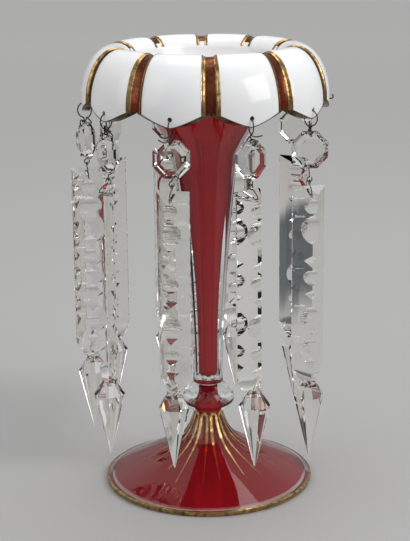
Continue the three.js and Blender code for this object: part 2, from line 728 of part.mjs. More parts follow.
function drop({ number, octagon: octagonFaces, prism: prismFaces, raised, lengthened }, materials) {
  const { group, azimuth } = petalGroup(number);
  const octagonTurn = octagonFaces - azimuth;
  const prismTurn = prismFaces - azimuth;

  const bead = named(`octagon_${number}`, octagon(), materials.clear);
  bead.position.z = OCTAGON_MIDDLE + raised;
  bead.rotation.z = radians(octagonTurn);

  const eyePlane = prismTurn - octagonTurn + 90;
  const eye = named(`eye_pin_${number}`, eyePin(eyePlane, lengthened), materials.wire);
  eye.position.z = raised;
  eye.rotation.z = radians(octagonTurn);

  const hook = named(`hook_pin_${number}`, hookPin(), materials.wire);
  hook.position.z = raised - lengthened;
  hook.rotation.z = radians(prismTurn);

  const spear = named(`prism_${number}`, prism(), materials.clear);
  spear.position.z = PRISM_TOP + raised - lengthened;
  spear.rotation.z = radians(prismTurn);

  group.add(named(`rim_wire_${number}`, rimWire(octagonTurn, raised), materials.wire));
  group.add(bead, eye, hook, spear);
  return group;
}

function build() {
  const materials = {};
  for (const [name, look] of Object.entries(MATERIALS)) {
    materials[name] = new THREE.MeshStandardMaterial(look);
  }
  const vase = new THREE.Group();
  vase.add(
    named("foot", foot(), materials.clear),
    named("foot_lining", footLining(), materials.ruby),
    named("knop", knop(), materials.clear),
    named("collar", collar(), materials.clear),
    named("stem", stemCasing(), materials.clear),
    named("stem_lining", stemLining(), materials.ruby),
    named("white_overlay", whiteOverlay(), materials.white),
  );
  for (const each of DROPS) vase.add(drop(each, materials));
  const { group } = petalGroup(BARE_PETAL);
  group.add(named(`rim_wire_${BARE_PETAL}`, bareWire(), materials.wire));
  vase.add(group);
  return vase;
}

export default build();
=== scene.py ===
# %% [markdown]
# # A ruby-lined lustre vase in Blender
#
# The object is a tall glass vase. A clear, panel-cut stem has a thin layer of ruby glass inside it.
# It opens into a turned-over crown with ten petals of opal white glass, cut away between the petals
# so that the ruby shows, with gilding on every cut edge. Nine drops of cut crystal hang from the
# petals on twisted wires, and a tenth petal has only a stub of wire left.
#
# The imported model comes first. It gives every piece its place, in metres, with +Z up.

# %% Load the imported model
import math

import bpy
from mathutils import Matrix, Vector
from mathutils.kdtree import KDTree


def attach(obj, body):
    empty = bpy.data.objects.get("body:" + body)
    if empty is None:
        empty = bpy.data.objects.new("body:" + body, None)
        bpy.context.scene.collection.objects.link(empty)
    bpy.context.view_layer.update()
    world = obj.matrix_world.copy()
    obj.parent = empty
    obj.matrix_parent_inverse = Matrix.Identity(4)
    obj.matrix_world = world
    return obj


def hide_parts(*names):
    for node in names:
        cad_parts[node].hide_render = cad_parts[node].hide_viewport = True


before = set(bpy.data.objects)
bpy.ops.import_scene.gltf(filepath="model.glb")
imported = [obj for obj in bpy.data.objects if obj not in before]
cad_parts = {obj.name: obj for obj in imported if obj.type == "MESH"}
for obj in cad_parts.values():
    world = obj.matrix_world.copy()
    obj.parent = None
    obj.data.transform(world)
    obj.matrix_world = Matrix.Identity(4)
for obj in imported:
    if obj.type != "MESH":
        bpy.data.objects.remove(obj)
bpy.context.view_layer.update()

# %% [markdown]
# ## Lengths, directions and colours
#
# Lengths below are millimetres, and `mm` turns them into Blender's metres. The vase is round, so a
# place is given by its azimuth, in degrees from the front towards the right, its radius and height.
# Colours are written as sRGB hex values, and `linear` turns one into the linear values that shader
# sockets take.

# %% Small helpers
def mm(*lengths):
    scaled = tuple(length / 1000 for length in lengths)
    return scaled[0] if len(scaled) == 1 else scaled


def around(azimuth, radius, height):
    angle = math.radians(azimuth)
    return Vector(mm(radius * math.sin(angle), -radius * math.cos(angle), height))


def lerp(start, end, share):
    return start + (end - start) * share


def clamp(value, low=0.0, high=1.0):
    return max(low, min(high, value))


def smooth(value):
    value = clamp(value)
    return value * value * (3 - 2 * value)


def linear(colour):
    channels = [int(colour[i:i + 2], 16) / 255 for i in (1, 3, 5)]
    return tuple(c / 12.92 if c <= 0.04045 else ((c + 0.055) / 1.055) ** 2.4 for c in channels) + (1.0,)


print("10 mm to the front is", around(0, 10, 0), "and middle grey is", round(linear("#808080")[0], 3))

# %% [markdown]
# ## The camera
#
# The photograph was taken from a little above the rim with a long lens. These numbers come from
# fitting the petals' tips, the rim's holes and the ellipse of the foot. The focal length is in
# pixels of the photograph, which is 541 pixels high, so it is turned into millimetres for a
# sensor 24 mm high.

# %% Camera
PHOTO_HEIGHT = 541
FOCAL_PIXELS = 1481.15
SENSOR_HEIGHT = 24
CAMERA_AT = Vector(mm(3.65, -962.3, 408.2))
PITCH, YAW, ROLL = math.radians(15.13), math.radians(0.30), math.radians(-0.55)

right = Vector((math.cos(YAW), math.sin(YAW), 0))
forward = Vector((-math.sin(YAW), math.cos(YAW), 0)) * math.cos(PITCH) - Vector((0, 0, math.sin(PITCH)))
up = right.cross(forward)
right, up = right * math.cos(ROLL) + up * math.sin(ROLL), up * math.cos(ROLL) - right * math.sin(ROLL)

bpy.ops.object.camera_add(location=CAMERA_AT)
camera = bpy.context.object
camera.name = "photograph_camera"
camera.rotation_euler = Matrix((right, up, -forward)).transposed().to_euler()
camera.data.sensor_fit = "VERTICAL"
camera.data.sensor_height = SENSOR_HEIGHT
camera.data.lens = FOCAL_PIXELS * SENSOR_HEIGHT / PHOTO_HEIGHT
camera.data.clip_start = mm(10)
camera.data.clip_end = 50
bpy.context.scene.camera = camera
print("lens", round(camera.data.lens, 2), "mm")

# %% [markdown]
# ## Materials
#
# One small function adds a node, sets its values and links its inputs. Every finish below is made
# with it, and each starts from what the real material is.

# %% Adding nodes
def add_node(tree, kind, settings=None, values=None, links=None):
    node = tree.nodes.new(kind)
    for name, value in (settings or {}).items():
        setattr(node, name, value)
    for name, value in (values or {}).items():
        node.inputs[name].default_value = value
    for name, socket in (links or {}).items():
        tree.links.new(socket, node.inputs[name])
    return node


def new_material(name):
    material = bpy.data.materials.new(name)
    material.use_nodes = True
    tree = material.node_tree
    tree.nodes.clear()
    return material, tree


# %% [markdown]
# ### Clear glass and lead crystal
#
# Blown glass refracts at about 1.51 and cut lead crystal at about 1.55. Both are polished. A path
# tracer finds lamps through refracting glass only by luck, so rays that look for a lamp pass
# straight through as if the glass were a thin tinted film. That gives the soft, light shadows of
# real glass. The clear glass is faintly green from its iron, the crystal faintly warm.

# %% Clear glass and crystal
def film_for_lamps(tree, surface, film_colour):
    """The surface itself, except that rays which look for a lamp meet only a thin tinted film."""
    film = add_node(tree, "ShaderNodeBsdfTransparent", values={"Color": film_colour})
    path = add_node(tree, "ShaderNodeLightPath")
    return add_node(tree, "ShaderNodeMixShader", links={
        0: path.outputs["Is Shadow Ray"], 1: surface.outputs[0], 2: film.outputs[0],
    })


def glass_material(name, colour, ior, shadow_colour):
    material, tree = new_material(name)
    glass = add_node(tree, "ShaderNodeBsdfPrincipled", values={
        "Base Color": linear(colour), "Roughness": 0.0, "IOR": ior, "Transmission Weight": 1.0,
    })
    both = film_for_lamps(tree, glass, linear(shadow_colour))
    add_node(tree, "ShaderNodeOutputMaterial", links={"Surface": both.outputs[0]})
    return material


CLEAR_GLASS = glass_material("blown_clear_glass", "#fafcfb", 1.51, "#f4f6f5")
CRYSTAL = glass_material("cut_lead_crystal", "#fbfaf6", 1.55, "#f2f4f4")
print("made", CLEAR_GLASS.name, "and", CRYSTAL.name)

# %% [markdown]
# ### Ruby glass
#
# The ruby is a layer about 1 mm thick, fused to the clear glass. There is no air between the two,
# so light doesn't bend where they meet: the layer has an IOR of 1 inside the clear glass, and only
# takes up light on its way through. Seen edge on, light has further to go, and the layer goes
# nearly black. A century of dust and scratches inside the bore scatters an eighth of the light, so
# the red glows evenly instead of only showing what stands behind it. The foot's layer is a little
# darker and cleaner. Both colours are written as linear values, because light goes through them
# many times and they were matched that way.

# %% Ruby glass
RUBY_DENSITY = 1400  # 1 mm takes up a quarter of the red and three quarters of the green and blue


def ruby_material(name, tint, clear_share):
    material, tree = new_material(name)
    surface = add_node(tree, "ShaderNodeBsdfPrincipled", values={
        "Base Color": (*tint, 1), "Roughness": 0.0, "IOR": 1.0, "Transmission Weight": clear_share,
    })
    both = film_for_lamps(tree, surface, (0.9, 0.25, 0.3, 1))
    absorption = add_node(tree, "ShaderNodeVolumeAbsorption", values={
        "Color": (0.78, 0.0, 0.07, 1), "Density": RUBY_DENSITY,
    })
    add_node(tree, "ShaderNodeOutputMaterial", links={
        "Surface": both.outputs[0], "Volume": absorption.outputs[0],
    })
    return material


RUBY = ruby_material("flashed_ruby_glass", (0.8, 0.06, 0.09), 0.88)
DEEP_RUBY = ruby_material("flashed_ruby_glass_in_the_foot", (0.68, 0.04, 0.06), 0.9)
print("made", RUBY.name, "and", DEEP_RUBY.name)

# %% [markdown]
# ### Opal white overlay
#
# Opal glass is white all through, with a fire-polished skin. It scatters light just under the
# surface, which softens the shading. A very faint mottling, in clouds about 20 mm wide, keeps it
# from looking like paint.

# %% Opal white glass
WHITE, tree = new_material("opal_white_glass")
place = add_node(tree, "ShaderNodeTexCoord")
mottle = add_node(tree, "ShaderNodeTexNoise", values={"Scale": 45.0, "Detail": 3.0},
                  links={"Vector": place.outputs["Object"]})
tint = add_node(tree, "ShaderNodeMix", settings={"data_type": "RGBA"},
                values={"A": linear("#f0f1f4"), "B": linear("#f8f8f8")},
                links={"Factor": mottle.outputs[0]})
opal = add_node(tree, "ShaderNodeBsdfPrincipled", values={
    "Roughness": 0.12, "IOR": 1.5, "Subsurface Weight": 0.25, "Subsurface Radius": (0.004, 0.004, 0.004),
    "Subsurface Scale": 1.0,
}, links={"Base Color": tint.outputs["Result"]})
add_node(tree, "ShaderNodeOutputMaterial", links={"Surface": opal.outputs[0]})
print("made", WHITE.name)

# %% [markdown]
# ### Burnished gilding
#
# Liquid gold is painted on the cut edges, fired, and rubbed with agate. It is a metal film, bright
# where it was burnished and brown where a century of handling has thinned it. Noise in patches of
# about 3 mm moves both the colour and the roughness between the two. The same finish is found in
# four states: bright on the sides of the cuts and on the foot's edge, lighter in the foot's fine
# lines, olive brown on the hem, and as a thin dark brown film across the cuts that the ruby shows
# through, which is partly worn gilding and partly painted shade that darkens the cuts' hollows.

# %% Gilding
WEAR_PATCHES = 330.0  # noise scale, per metre


def gilding_material(name, bright, brown, worn_from, worn_to, cover=1.0):
    material, tree = new_material(name)
    place = add_node(tree, "ShaderNodeTexCoord")
    wear = add_node(tree, "ShaderNodeTexNoise", links={"Vector": place.outputs["Object"]},
                    values={"Scale": WEAR_PATCHES, "Detail": 5.0, "Roughness": 0.6})
    share = add_node(tree, "ShaderNodeMapRange", values={"From Min": worn_from, "From Max": worn_to},
                     links={"Value": wear.outputs[0]})
    colour = add_node(tree, "ShaderNodeMix", settings={"data_type": "RGBA"},
                      values={"A": linear(bright), "B": linear(brown)}, links={"Factor": share.outputs[0]})
    rough = add_node(tree, "ShaderNodeMapRange", values={"To Min": 0.12, "To Max": 0.34},
                     links={"Value": share.outputs[0]})
    gold = add_node(tree, "ShaderNodeBsdfPrincipled", values={"Metallic": 1.0, "Alpha": cover},
                    links={"Base Color": colour.outputs["Result"], "Roughness": rough.outputs[0]})
    add_node(tree, "ShaderNodeOutputMaterial", links={"Surface": gold.outputs[0]})
    return material


# worn gilding and painted shade: a thin dark brown metal film that darkens the hollow of each cut
WORN_GILT_AND_SHADE = gilding_material("worn_gilding_and_painted_shade", "#7c4e33", "#4a1f18", 0.3, 0.75, cover=0.74)
LINE_GILT = gilding_material("fine_line_gilding", "#dfbd80", "#80562c", 0.4, 0.75)
GILT = gilding_material("burnished_gilding", "#c2a26e", "#5f4628", 0.36, 0.68)
HEM_GILT = gilding_material("rubbed_hem_gilding", "#7a6744", "#3a3022", 0.3, 0.7)
print("made", [gilding.name for gilding in (WORN_GILT_AND_SHADE, LINE_GILT, GILT, HEM_GILT)])

# %% [markdown]
# ### Iron wire
#
# The hooks are soft annealed iron wire, gone dark brown-black with age. It is a metal under a thin
# oxide, so it is dark, a little rough, and only glints on its bends. Specks of rust are about a
# millimetre wide.

# %% Iron wire
IRON, tree = new_material("annealed_iron_wire")
place = add_node(tree, "ShaderNodeTexCoord")
rust = add_node(tree, "ShaderNodeTexNoise", values={"Scale": 900.0, "Detail": 3.0},
                links={"Vector": place.outputs["Object"]})
tint = add_node(tree, "ShaderNodeMix", settings={"data_type": "RGBA"},
                values={"A": linear("#2a2724"), "B": linear("#54483d")},
                links={"Factor": rust.outputs[0]})
iron = add_node(tree, "ShaderNodeBsdfPrincipled", values={"Metallic": 0.7, "Roughness": 0.42},
                links={"Base Color": tint.outputs["Result"]})
add_node(tree, "ShaderNodeOutputMaterial", links={"Surface": iron.outputs[0]})
print("made", IRON.name)

# %% [markdown]
# ## Choosing what an operator works on
#
# An operator acts on all that is selected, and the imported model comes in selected. So everything is
# deselected before each step, and faces are then chosen in code, by their place and their normal.

# %% Selecting
def deselect():
    if bpy.context.object and bpy.context.object.mode == "EDIT":
        bpy.ops.object.mode_set(mode="OBJECT")
    bpy.ops.object.select_all(action="DESELECT")


def pick(piece):
    deselect()
    piece.select_set(True)
    bpy.context.view_layer.objects.active = piece


def select_faces(piece, test):
    """Goes into edit mode with only the faces selected that pass a test of their middle and normal."""
    pick(piece)
    bpy.ops.object.mode_set(mode="EDIT")
    bpy.ops.mesh.select_mode(type="FACE")
    bpy.ops.mesh.select_all(action="DESELECT")
    bpy.ops.object.mode_set(mode="OBJECT")
    for face in piece.data.polygons:
        face.select = test(face.center * 1000, face.normal)
    bpy.ops.object.mode_set(mode="EDIT")


def leave_edit_mode():
    bpy.ops.mesh.select_mode(type="VERT")
    bpy.ops.object.mode_set(mode="OBJECT")


# %% [markdown]
# ## Turning on a lathe
#
# Blown and cut glass is round, so most of the vase is a profile turned about the axis. The profile
# is drawn as by hand: one vertex is extruded from point to point, and the chain is spun. Each
# point of a profile has a part of the surface that it belongs to, such as the hem or the stem.
# After the spin, that tells how a vertex is moved to cut the panels and to swell the petals.

# %% Drawing and spinning a profile
PETALS = 10
PITCH_ANGLE = 360 / PETALS
PETAL_1 = -87.4  # azimuth of the first petal's middle, a little in front of the left side
TURNS = 360


def draw_chain(name, points):
    deselect()
    bpy.ops.mesh.primitive_plane_add(size=mm(1), location=(0, 0, 0))
    piece = bpy.context.object
    piece.name = piece.data.name = name
    bpy.ops.object.mode_set(mode="EDIT")
    bpy.ops.mesh.select_all(action="SELECT")
    bpy.ops.mesh.merge(type="CENTER")
    bpy.ops.transform.translate(value=points[0])
    for here, there in zip(points, points[1:]):
        bpy.ops.mesh.extrude_vertices_move(TRANSFORM_OT_translate={"value": there - here})
    return piece


def spin(steps, degrees):
    bpy.ops.mesh.select_all(action="SELECT")
    bpy.ops.mesh.spin(steps=steps, angle=math.radians(degrees), center=(0, 0, 0), axis=(0, 0, 1))
    bpy.ops.mesh.select_all(action="SELECT")
    bpy.ops.mesh.remove_doubles(threshold=mm(0.005))
    bpy.ops.mesh.normals_make_consistent(inside=False)
    bpy.ops.object.mode_set(mode="OBJECT")


def lathe(name, profile, steps=TURNS):
    piece = draw_chain(name, [around(PETAL_1, r, z) for r, z, _ in profile])
    spin(steps, 360)
    return piece


# %% Moving the points of a turned surface
def reshape(piece, profile, rules):
    """Moves each vertex by the rule of the part that its nearest point of the profile belongs to."""
    tree = KDTree(len(profile))
    for i, (r, z, _) in enumerate(profile):
        tree.insert((r, z, 0), i)
    tree.balance()
    for vertex in piece.data.vertices:
        x, y, z = (c * 1000 for c in vertex.co)
        azimuth, r = math.degrees(math.atan2(x, -y)), math.hypot(x, y)
        part = profile[tree.find((r, z, 0))[1]][2]
        if part in rules:
            vertex.co = around(azimuth, *rules[part](azimuth, r, z))
    piece.data.update()


# %% [markdown]
# ## The shape of the crown
#
# The crown's visible line runs from the hem up over the crest and down into the throat. Seen in
# section it is a quarter of a tall ellipse outside and a quarter of a small one inside. Each
# petal's hem dips to a soft point in its middle. Petals swell a little between the cuts, and the
# cuts are hollow flutes that go through the white into the ruby.

# %% Crown measures
TOP = 300.0
CREST_RADIUS = 59.0
WIDEST, WIDEST_RADIUS = 266.0, 80.8
THROAT, THROAT_RADIUS = 290.0, 48.0
HEM_TIP = 257.6
WHITE_GLASS = 1.2
WHITE_SEAT = 1.25  # the body's surface under the white
BRIM_GLASS = 4.6
print("crown", 2 * WIDEST_RADIUS, "mm wide,", round(TOP - HEM_TIP, 1), "mm from its top to the tips")

# %% Petals and cuts
SLOT_HALF = 4.0  # degrees
PUFF = 1.4
CREST_PUFF = 0.2  # the share of the puff that is left at the crest
FLUTE, CREST_FLUTE = 3.35, 1.5


def petal_share(azimuth):
    """0 in the middle of a petal, 1 in the middle of a cut."""
    turn = (azimuth - PETAL_1) % PITCH_ANGLE
    return min(turn, PITCH_ANGLE - turn) / (PITCH_ANGLE / 2)


def from_slot(azimuth):
    """Degrees from the middle of the nearest cut."""
    return (1 - petal_share(azimuth)) * PITCH_ANGLE / 2


def fullness(z):
    """1 on the crown's side, where the cuts are deepest, falling to 0 at the crest."""
    angle = math.degrees(math.asin(clamp((z - WIDEST) / (TOP - WIDEST), -1, 1)))
    return 1 - smooth((angle - 25) / 65)


def edge_puff(z):
    """How deep a petal's surface lies beside the cuts."""
    return PUFF * lerp(CREST_PUFF, 1, fullness(z))


def puff(azimuth, z):
    """How deep a petal's surface lies: nothing in its middle, most beside the cuts."""
    edge = 1 - SLOT_HALF / (PITCH_ANGLE / 2)
    return edge_puff(z) * (petal_share(azimuth) / edge) ** 2.6


def flute_depth(azimuth, z):
    """How deep the hollow of a cut lies: it starts just over the body's surface at its sides."""
    middle = lerp(CREST_FLUTE, FLUTE, fullness(z))
    edge = edge_puff(z) + WHITE_SEAT - 0.04
    return middle - (middle - edge) * (from_slot(azimuth) / SLOT_HALF) ** 2


print("a cut is", round(flute_depth(PETAL_1 + PITCH_ANGLE / 2, WIDEST), 2), "mm deep where the crown is widest")

# %% [markdown]
# The same line at several depths gives the white's surface, the body's, the ruby's and the inside.
# Its first points lie close together, so that the hem's edge can be moved on its own.

# %% The crown's line
BAND = 2.0
LIP_ANGLES = [72, 54, 37, 20, 10, 0]


def crown_line(depth, part, steps=14):
    """The crown's surface at a depth, from the hem over the crest and down to the throat."""
    wide, tall = WIDEST_RADIUS - CREST_RADIUS - depth, TOP - WIDEST - depth
    near_hem = [HEM_TIP, HEM_TIP + BAND / 2, HEM_TIP + BAND]
    first = math.asin((near_hem[-1] - WIDEST) / tall)
    angles = [math.asin((z - WIDEST) / tall) for z in near_hem]
    angles += [lerp(first, math.pi / 2, i / steps) for i in range(1, steps + 1)]
    line = [(CREST_RADIUS + wide * math.cos(a), WIDEST + tall * math.sin(a), part) for a in angles]
    for angle in map(math.radians, LIP_ANGLES):
        r = CREST_RADIUS - (CREST_RADIUS - THROAT_RADIUS - depth) * math.cos(angle)
        line.append((r, THROAT + (TOP - THROAT - depth) * math.sin(angle), part + "_lip"))
    return line


def flare(share, base, throat):
    """A radius on the way from the stem's top, at 0, to the throat, at 1."""
    return lerp(base, throat, share + 0.065 * math.sin(math.pi * share) ** 2)


print("the crown's line has", len(crown_line(0, "petal")), "points")

# %% [markdown]
# After the spin each point is moved to the depth that its azimuth asks for, along the same ellipse,
# and near the hem it is also lifted between the petals' tips.

# %% Moving a point of the crown
HEM_RISE, HEM_CURVE = 9.9, 1.5
HEM_BEVEL = 2.2  # half of what the bevelled edge climbs from inside to outside, beside a cut
HEM_BLEND = 27.4  # above this height over the hem's tip, the hem's dips no longer show


def lifted(azimuth, height, depth):
    """A height near the hem, raised between the petals. The bevel makes the outside higher."""
    share = petal_share(azimuth)
    rise = HEM_RISE * share ** HEM_CURVE + HEM_BEVEL * share * (1 - 2 * depth / BRIM_GLASS)
    over = height - HEM_TIP
    fade = 1 if over <= BAND else clamp((HEM_BLEND - over) / (HEM_BLEND - BAND))
    return height + rise * fade


def on_crown(azimuth, depth_now, r, z, depth_new, lip=False):
    """A point on the crown's line at one depth, moved to another depth and to the hem's real height."""
    if lip:
        wide = CREST_RADIUS - THROAT_RADIUS - depth_now
        angle = math.atan2((z - THROAT) / (TOP - THROAT - depth_now), (CREST_RADIUS - r) / wide)
        new_r = CREST_RADIUS - (CREST_RADIUS - THROAT_RADIUS - depth_new) * math.cos(angle)
        return new_r, THROAT + (TOP - THROAT - depth_new) * math.sin(angle)
    z = lifted(azimuth, z, depth_new)
    angle = math.asin(clamp((z - WIDEST) / (TOP - WIDEST - depth_now), -1, 1))
    new_r = CREST_RADIUS + (WIDEST_RADIUS - CREST_RADIUS - depth_new) * math.cos(angle)
    new_z = z if z < WIDEST else WIDEST + (TOP - WIDEST - depth_new) * math.sin(angle)
    return new_r, new_z


def lip_share(z):
    """1 at the crest, 0 at the throat."""
    return smooth((z - THROAT - 1.7) / (TOP - THROAT - 4.0))


print("the hem rises", round(lifted(PETAL_1 + PITCH_ANGLE / 2, HEM_TIP, 0) - HEM_TIP, 1), "mm beside a cut")

# %% [markdown]
# ## The glass body
#
# On the real vase the foot, knop, collar, stem and crown are one mass of clear glass, so they are
# one closed piece here: light must not meet air between them. The profile starts at the bottom of
# the bore, goes up over the crown, down the outside to the foot, and ends at the top of the hollow
# under the foot. The stem is cut into ten flat panels with a wheel, which also run down the neck
# of the foot and fade out on its cone.

# %% The bore's line
STEM_FOOT, STEM_TOP = 73.3, 228.0
STEM_FOOT_RADIUS, STEM_TOP_RADIUS, STEM_CURVE = 10.0, 21.0, 1.6
BORE_FLOOR, BORE_FOOT_RADIUS, BORE_TOP_RADIUS, BORE_CURVE = 75.1, 3.2, 14.5, 2.5
CAVITY_THROAT_RADIUS = THROAT_RADIUS + WHITE_SEAT
BORE_ROUND = 3.0  # height of the bore's round floor
OUTER_THROAT_RADIUS = THROAT_RADIUS + BRIM_GLASS
FLARE_SHARES = [1 - i / 12 for i in range(1, 12)]
WHITE_END = 262.0  # the white ends at this height inside the throat


def bore_radius(share):
    return lerp(BORE_FOOT_RADIUS, BORE_TOP_RADIUS, share ** BORE_CURVE)


def bore_line(extra, part):
    """The bore's wall, from just under the throat down to its round floor."""
    line = []
    for share in FLARE_SHARES + [0]:
        z = lerp(STEM_TOP, THROAT, share)
        hidden = 0 if z < WHITE_END - 4 else smooth((z - WHITE_END + 4) / 4)
        r = flare(share, BORE_TOP_RADIUS, CAVITY_THROAT_RADIUS) - (1 - hidden) * 0.8 * share
        line.append((r + extra, z, part))
    low = BORE_FLOOR + BORE_ROUND
    for share in [i / 14 for i in range(13, -1, -1)]:
        line.append((bore_radius(share) + extra, lerp(low, STEM_TOP, share), part))
    for angle in (30, 60, 80):
        a = math.radians(angle)
        r, z = (BORE_FOOT_RADIUS + extra) * math.cos(a), low - (BORE_ROUND + extra) * math.sin(a)
        line.append((r, z, part))
    line.append((0, low - BORE_ROUND - extra, part))
    return line


print("stem", round(STEM_TOP - STEM_FOOT, 1), "mm, its bore's floor at", BORE_FLOOR, "mm")

# %% [markdown]
# The foot is a shallow cone of even thickness. A real one is spun open while it is hot, so its
# underside follows its top. A hollow runs up from there into the knop.

# %% The foot's line
NECK_RADIUS, FOOT_RADIUS = 9.7, 70.7
CONE_TOP, CONE_EDGE = 34.5, 3.2
FOOT_GLASS = 4.2


def foot_height(r):
    """A straight cone that turns up into the neck."""
    out = r - NECK_RADIUS
    return CONE_TOP - out * (CONE_TOP - CONE_EDGE) / (FOOT_RADIUS - NECK_RADIUS) + 15 * math.exp(-out / 4.3)


def foot_slope(r):
    """How far the foot falls in 1 mm outwards, and how long that 1 mm is along its surface."""
    fall = (foot_height(r) - foot_height(r + 0.01)) / 0.01
    return fall, math.hypot(1, fall)


def foot_line(depth, last, steps=26, part="foot"):
    """The foot's surface from the neck outwards, at a depth under it."""
    line = []
    for i in range(steps + 1):
        r = NECK_RADIUS + (last - NECK_RADIUS) * (i / steps) ** 1.9
        fall, length = foot_slope(r)
        line.append((r - depth * fall / length, foot_height(r) - depth / length, part))
    return line


print("foot", 2 * FOOT_RADIUS, "mm across, its neck at", round(foot_height(NECK_RADIUS), 1), "mm")


# %% The hollow and the panels
def knop_hollow(extra, part):
    """The hollow that runs up into the knop: an hourglass with a domed top."""
    line = [(6.4, 49.5), (5.9, 51.5), (4.6, 54.5), (3.7, 57.5), (3.5, 60.0), (3.9, 62.5), (4.3, 64.2),
            (3.9, 65.6), (2.6, 66.5), (1.2, 66.9), (0, 67)]
    dome = 64
    line = [(r + extra if r else 0, z + (extra if z > dome else 0), part) for r, z in line]
    return line


def panel(azimuth):
    """Radius of a regular polygon with as many sides as there are petals, and its corners at 1."""
    half = PITCH_ANGLE / 2
    turn = (azimuth - PETAL_1) % PITCH_ANGLE
    return math.cos(math.radians(half)) / math.cos(math.radians(turn - half))


print("a panel's middle is at", round(panel(PETAL_1 + PITCH_ANGLE / 2), 3), "of its corners' radius")

# %% [markdown]
# ### The body's profile
#
# A knop is a ball pressed between tongs and a collar is a thread of glass laid round the joint, so
# the knop is drawn as two halves of an ellipse and the collar as a band with rounded edges. The
# profile is one line from the bore's floor to the hollow in the knop, so no seam is left open.

# %% Body profile
KNOP_BASE, KNOP_WIDEST, KNOP_TOP = 49.8, 57.6, 69.4
KNOP_RADIUS, KNOP_END, KNOP_TOP_RADIUS = 17.8, 10.2, 8.8
COLLAR_BASE, COLLAR_TOP, COLLAR_RADIUS = 69.9, 72.9, 10.3

body = list(reversed(bore_line(0, "bore")))
body += list(reversed(crown_line(WHITE_SEAT, "seat")))
body += crown_line(BRIM_GLASS, "brim")
for share in FLARE_SHARES + [0]:
    z = lerp(STEM_TOP, THROAT, share)
    body.append((flare(share, STEM_TOP_RADIUS, OUTER_THROAT_RADIUS), z, "stem"))
for share in [i / 16 for i in range(15, -1, -1)]:
    r = lerp(STEM_FOOT_RADIUS, STEM_TOP_RADIUS, share ** STEM_CURVE)
    body.append((r, lerp(STEM_FOOT, STEM_TOP, share), "stem"))
collar_edge = [(0.9, 0), (0.2, 0.3), (0, 1)]
body += [(COLLAR_RADIUS - less, COLLAR_TOP - low, "collar") for less, low in collar_edge]
body += [(COLLAR_RADIUS - less, COLLAR_BASE + rise, "collar") for less, rise in reversed(collar_edge)]
for i in range(8, -9, -1):
    half, end = (KNOP_TOP - KNOP_WIDEST, KNOP_TOP_RADIUS) if i > 0 else (KNOP_WIDEST - KNOP_BASE, KNOP_END)
    squash = half / math.sqrt(1 - (end / KNOP_RADIUS) ** 2)
    z = half * math.sin(math.pi / 2 * i / 8)
    body.append((KNOP_RADIUS * math.sqrt(1 - (z / squash) ** 2), KNOP_WIDEST + z, "knop"))
body += foot_line(0, FOOT_RADIUS)
foot_ring = [(0, 2.2), (0.3, 1.0), (1.5, 0.05), (5.5, 0.05), (6.6, 0.7)]
body += [(FOOT_RADIUS - less, z, "edge") for less, z in foot_ring]
under = foot_line(FOOT_GLASS, FOOT_RADIUS - 4, part="under")
body += [(r, z, part) for r, z, part in reversed(under) if z > 1.2 and r < FOOT_RADIUS - 7]
body += knop_hollow(0, "hollow")
print("body profile", len(body), "points")

# %% [markdown]
# The crown's parts of the profile now follow the petals. Where a cut goes through the white, the
# body's surface drops to the flute's depth.

# %% Rules for the body
def seat_depth(azimuth, height):
    """How deep the body's surface lies: the flute in a cut, and the white's seat between the cuts."""
    inside = from_slot(azimuth) < SLOT_HALF + 0.01
    return flute_depth(azimuth, height) if inside else puff(azimuth, height) + WHITE_SEAT


def with_lip(part, rule):
    """A rule for the crown's side, and the same rule for the lip inside the crest."""
    return {part: rule, part + "_lip": lambda azimuth, r, z: rule(azimuth, r, z, lip=True)}


def seat_rule(azimuth, r, z, lip=False):
    depth = seat_depth(azimuth, TOP if lip else z)
    if lip:
        depth = lerp(WHITE_SEAT, depth, lip_share(z))
    return on_crown(azimuth, WHITE_SEAT, r, z, depth, lip)


def stem_rule(azimuth, r, z):
    flatness = clamp((THROAT - 12 - z) / 40)
    return r * lerp(1, panel(azimuth), smooth(flatness)), z


def foot_rule(azimuth, r, z):
    return r * lerp(panel(azimuth), 1, smooth((r - NECK_RADIUS) / (FOOT_RADIUS - NECK_RADIUS - 2))), z


BODY_RULES = {
    **with_lip("seat", seat_rule),
    "brim": lambda azimuth, r, z: on_crown(azimuth, BRIM_GLASS, r, z, BRIM_GLASS),
    "stem": stem_rule,
    "foot": foot_rule,
}

# %% Turn and cut the body
vase_glass = lathe("vase_glass", body)
reshape(vase_glass, body, BODY_RULES)
print("vase_glass", len(vase_glass.data.polygons), "faces")

# %% [markdown]
# ### The ruby layers
#
# The stem's ruby lies just inside the bore's wall and spreads up under the white to the hem. The
# foot's ruby lies along the underside of its cone and up round the hollow in the knop. Both are
# closed thin shells inside the clear glass, 0.15 mm from the air. A single surface without
# thickness would be simpler, but only a shell with two sides can take up light by its thickness.

# %% Ruby in the stem and crown
INSET = 0.15
RUBY_GLASS = 1.0
HEM_RAISE = 0.15  # the ruby ends this far over the hem
ruby_line = list(reversed(bore_line(INSET, "bore")))
ruby_line += list(reversed(crown_line(WHITE_SEAT + INSET, "outer")))
ruby_line += crown_line(BRIM_GLASS - INSET, "inner")
ruby_line += bore_line(INSET + RUBY_GLASS, "bore")


def outer_rule(azimuth, r, z, lip=False):
    depth = seat_depth(azimuth, TOP if lip else z) + INSET
    if lip:
        depth = lerp(WHITE_SEAT + INSET, depth, lip_share(z))
    return on_crown(azimuth, WHITE_SEAT + INSET, r, z + (0 if lip else HEM_RAISE), depth, lip)


def inner_rule(azimuth, r, z, lip=False):
    thick = WHITE_SEAT + INSET + RUBY_GLASS
    depth = lerp(thick, BRIM_GLASS - INSET, lip_share(z)) if lip else BRIM_GLASS - INSET
    return on_crown(azimuth, BRIM_GLASS - INSET, r, z + (0 if lip else HEM_RAISE), depth, lip)


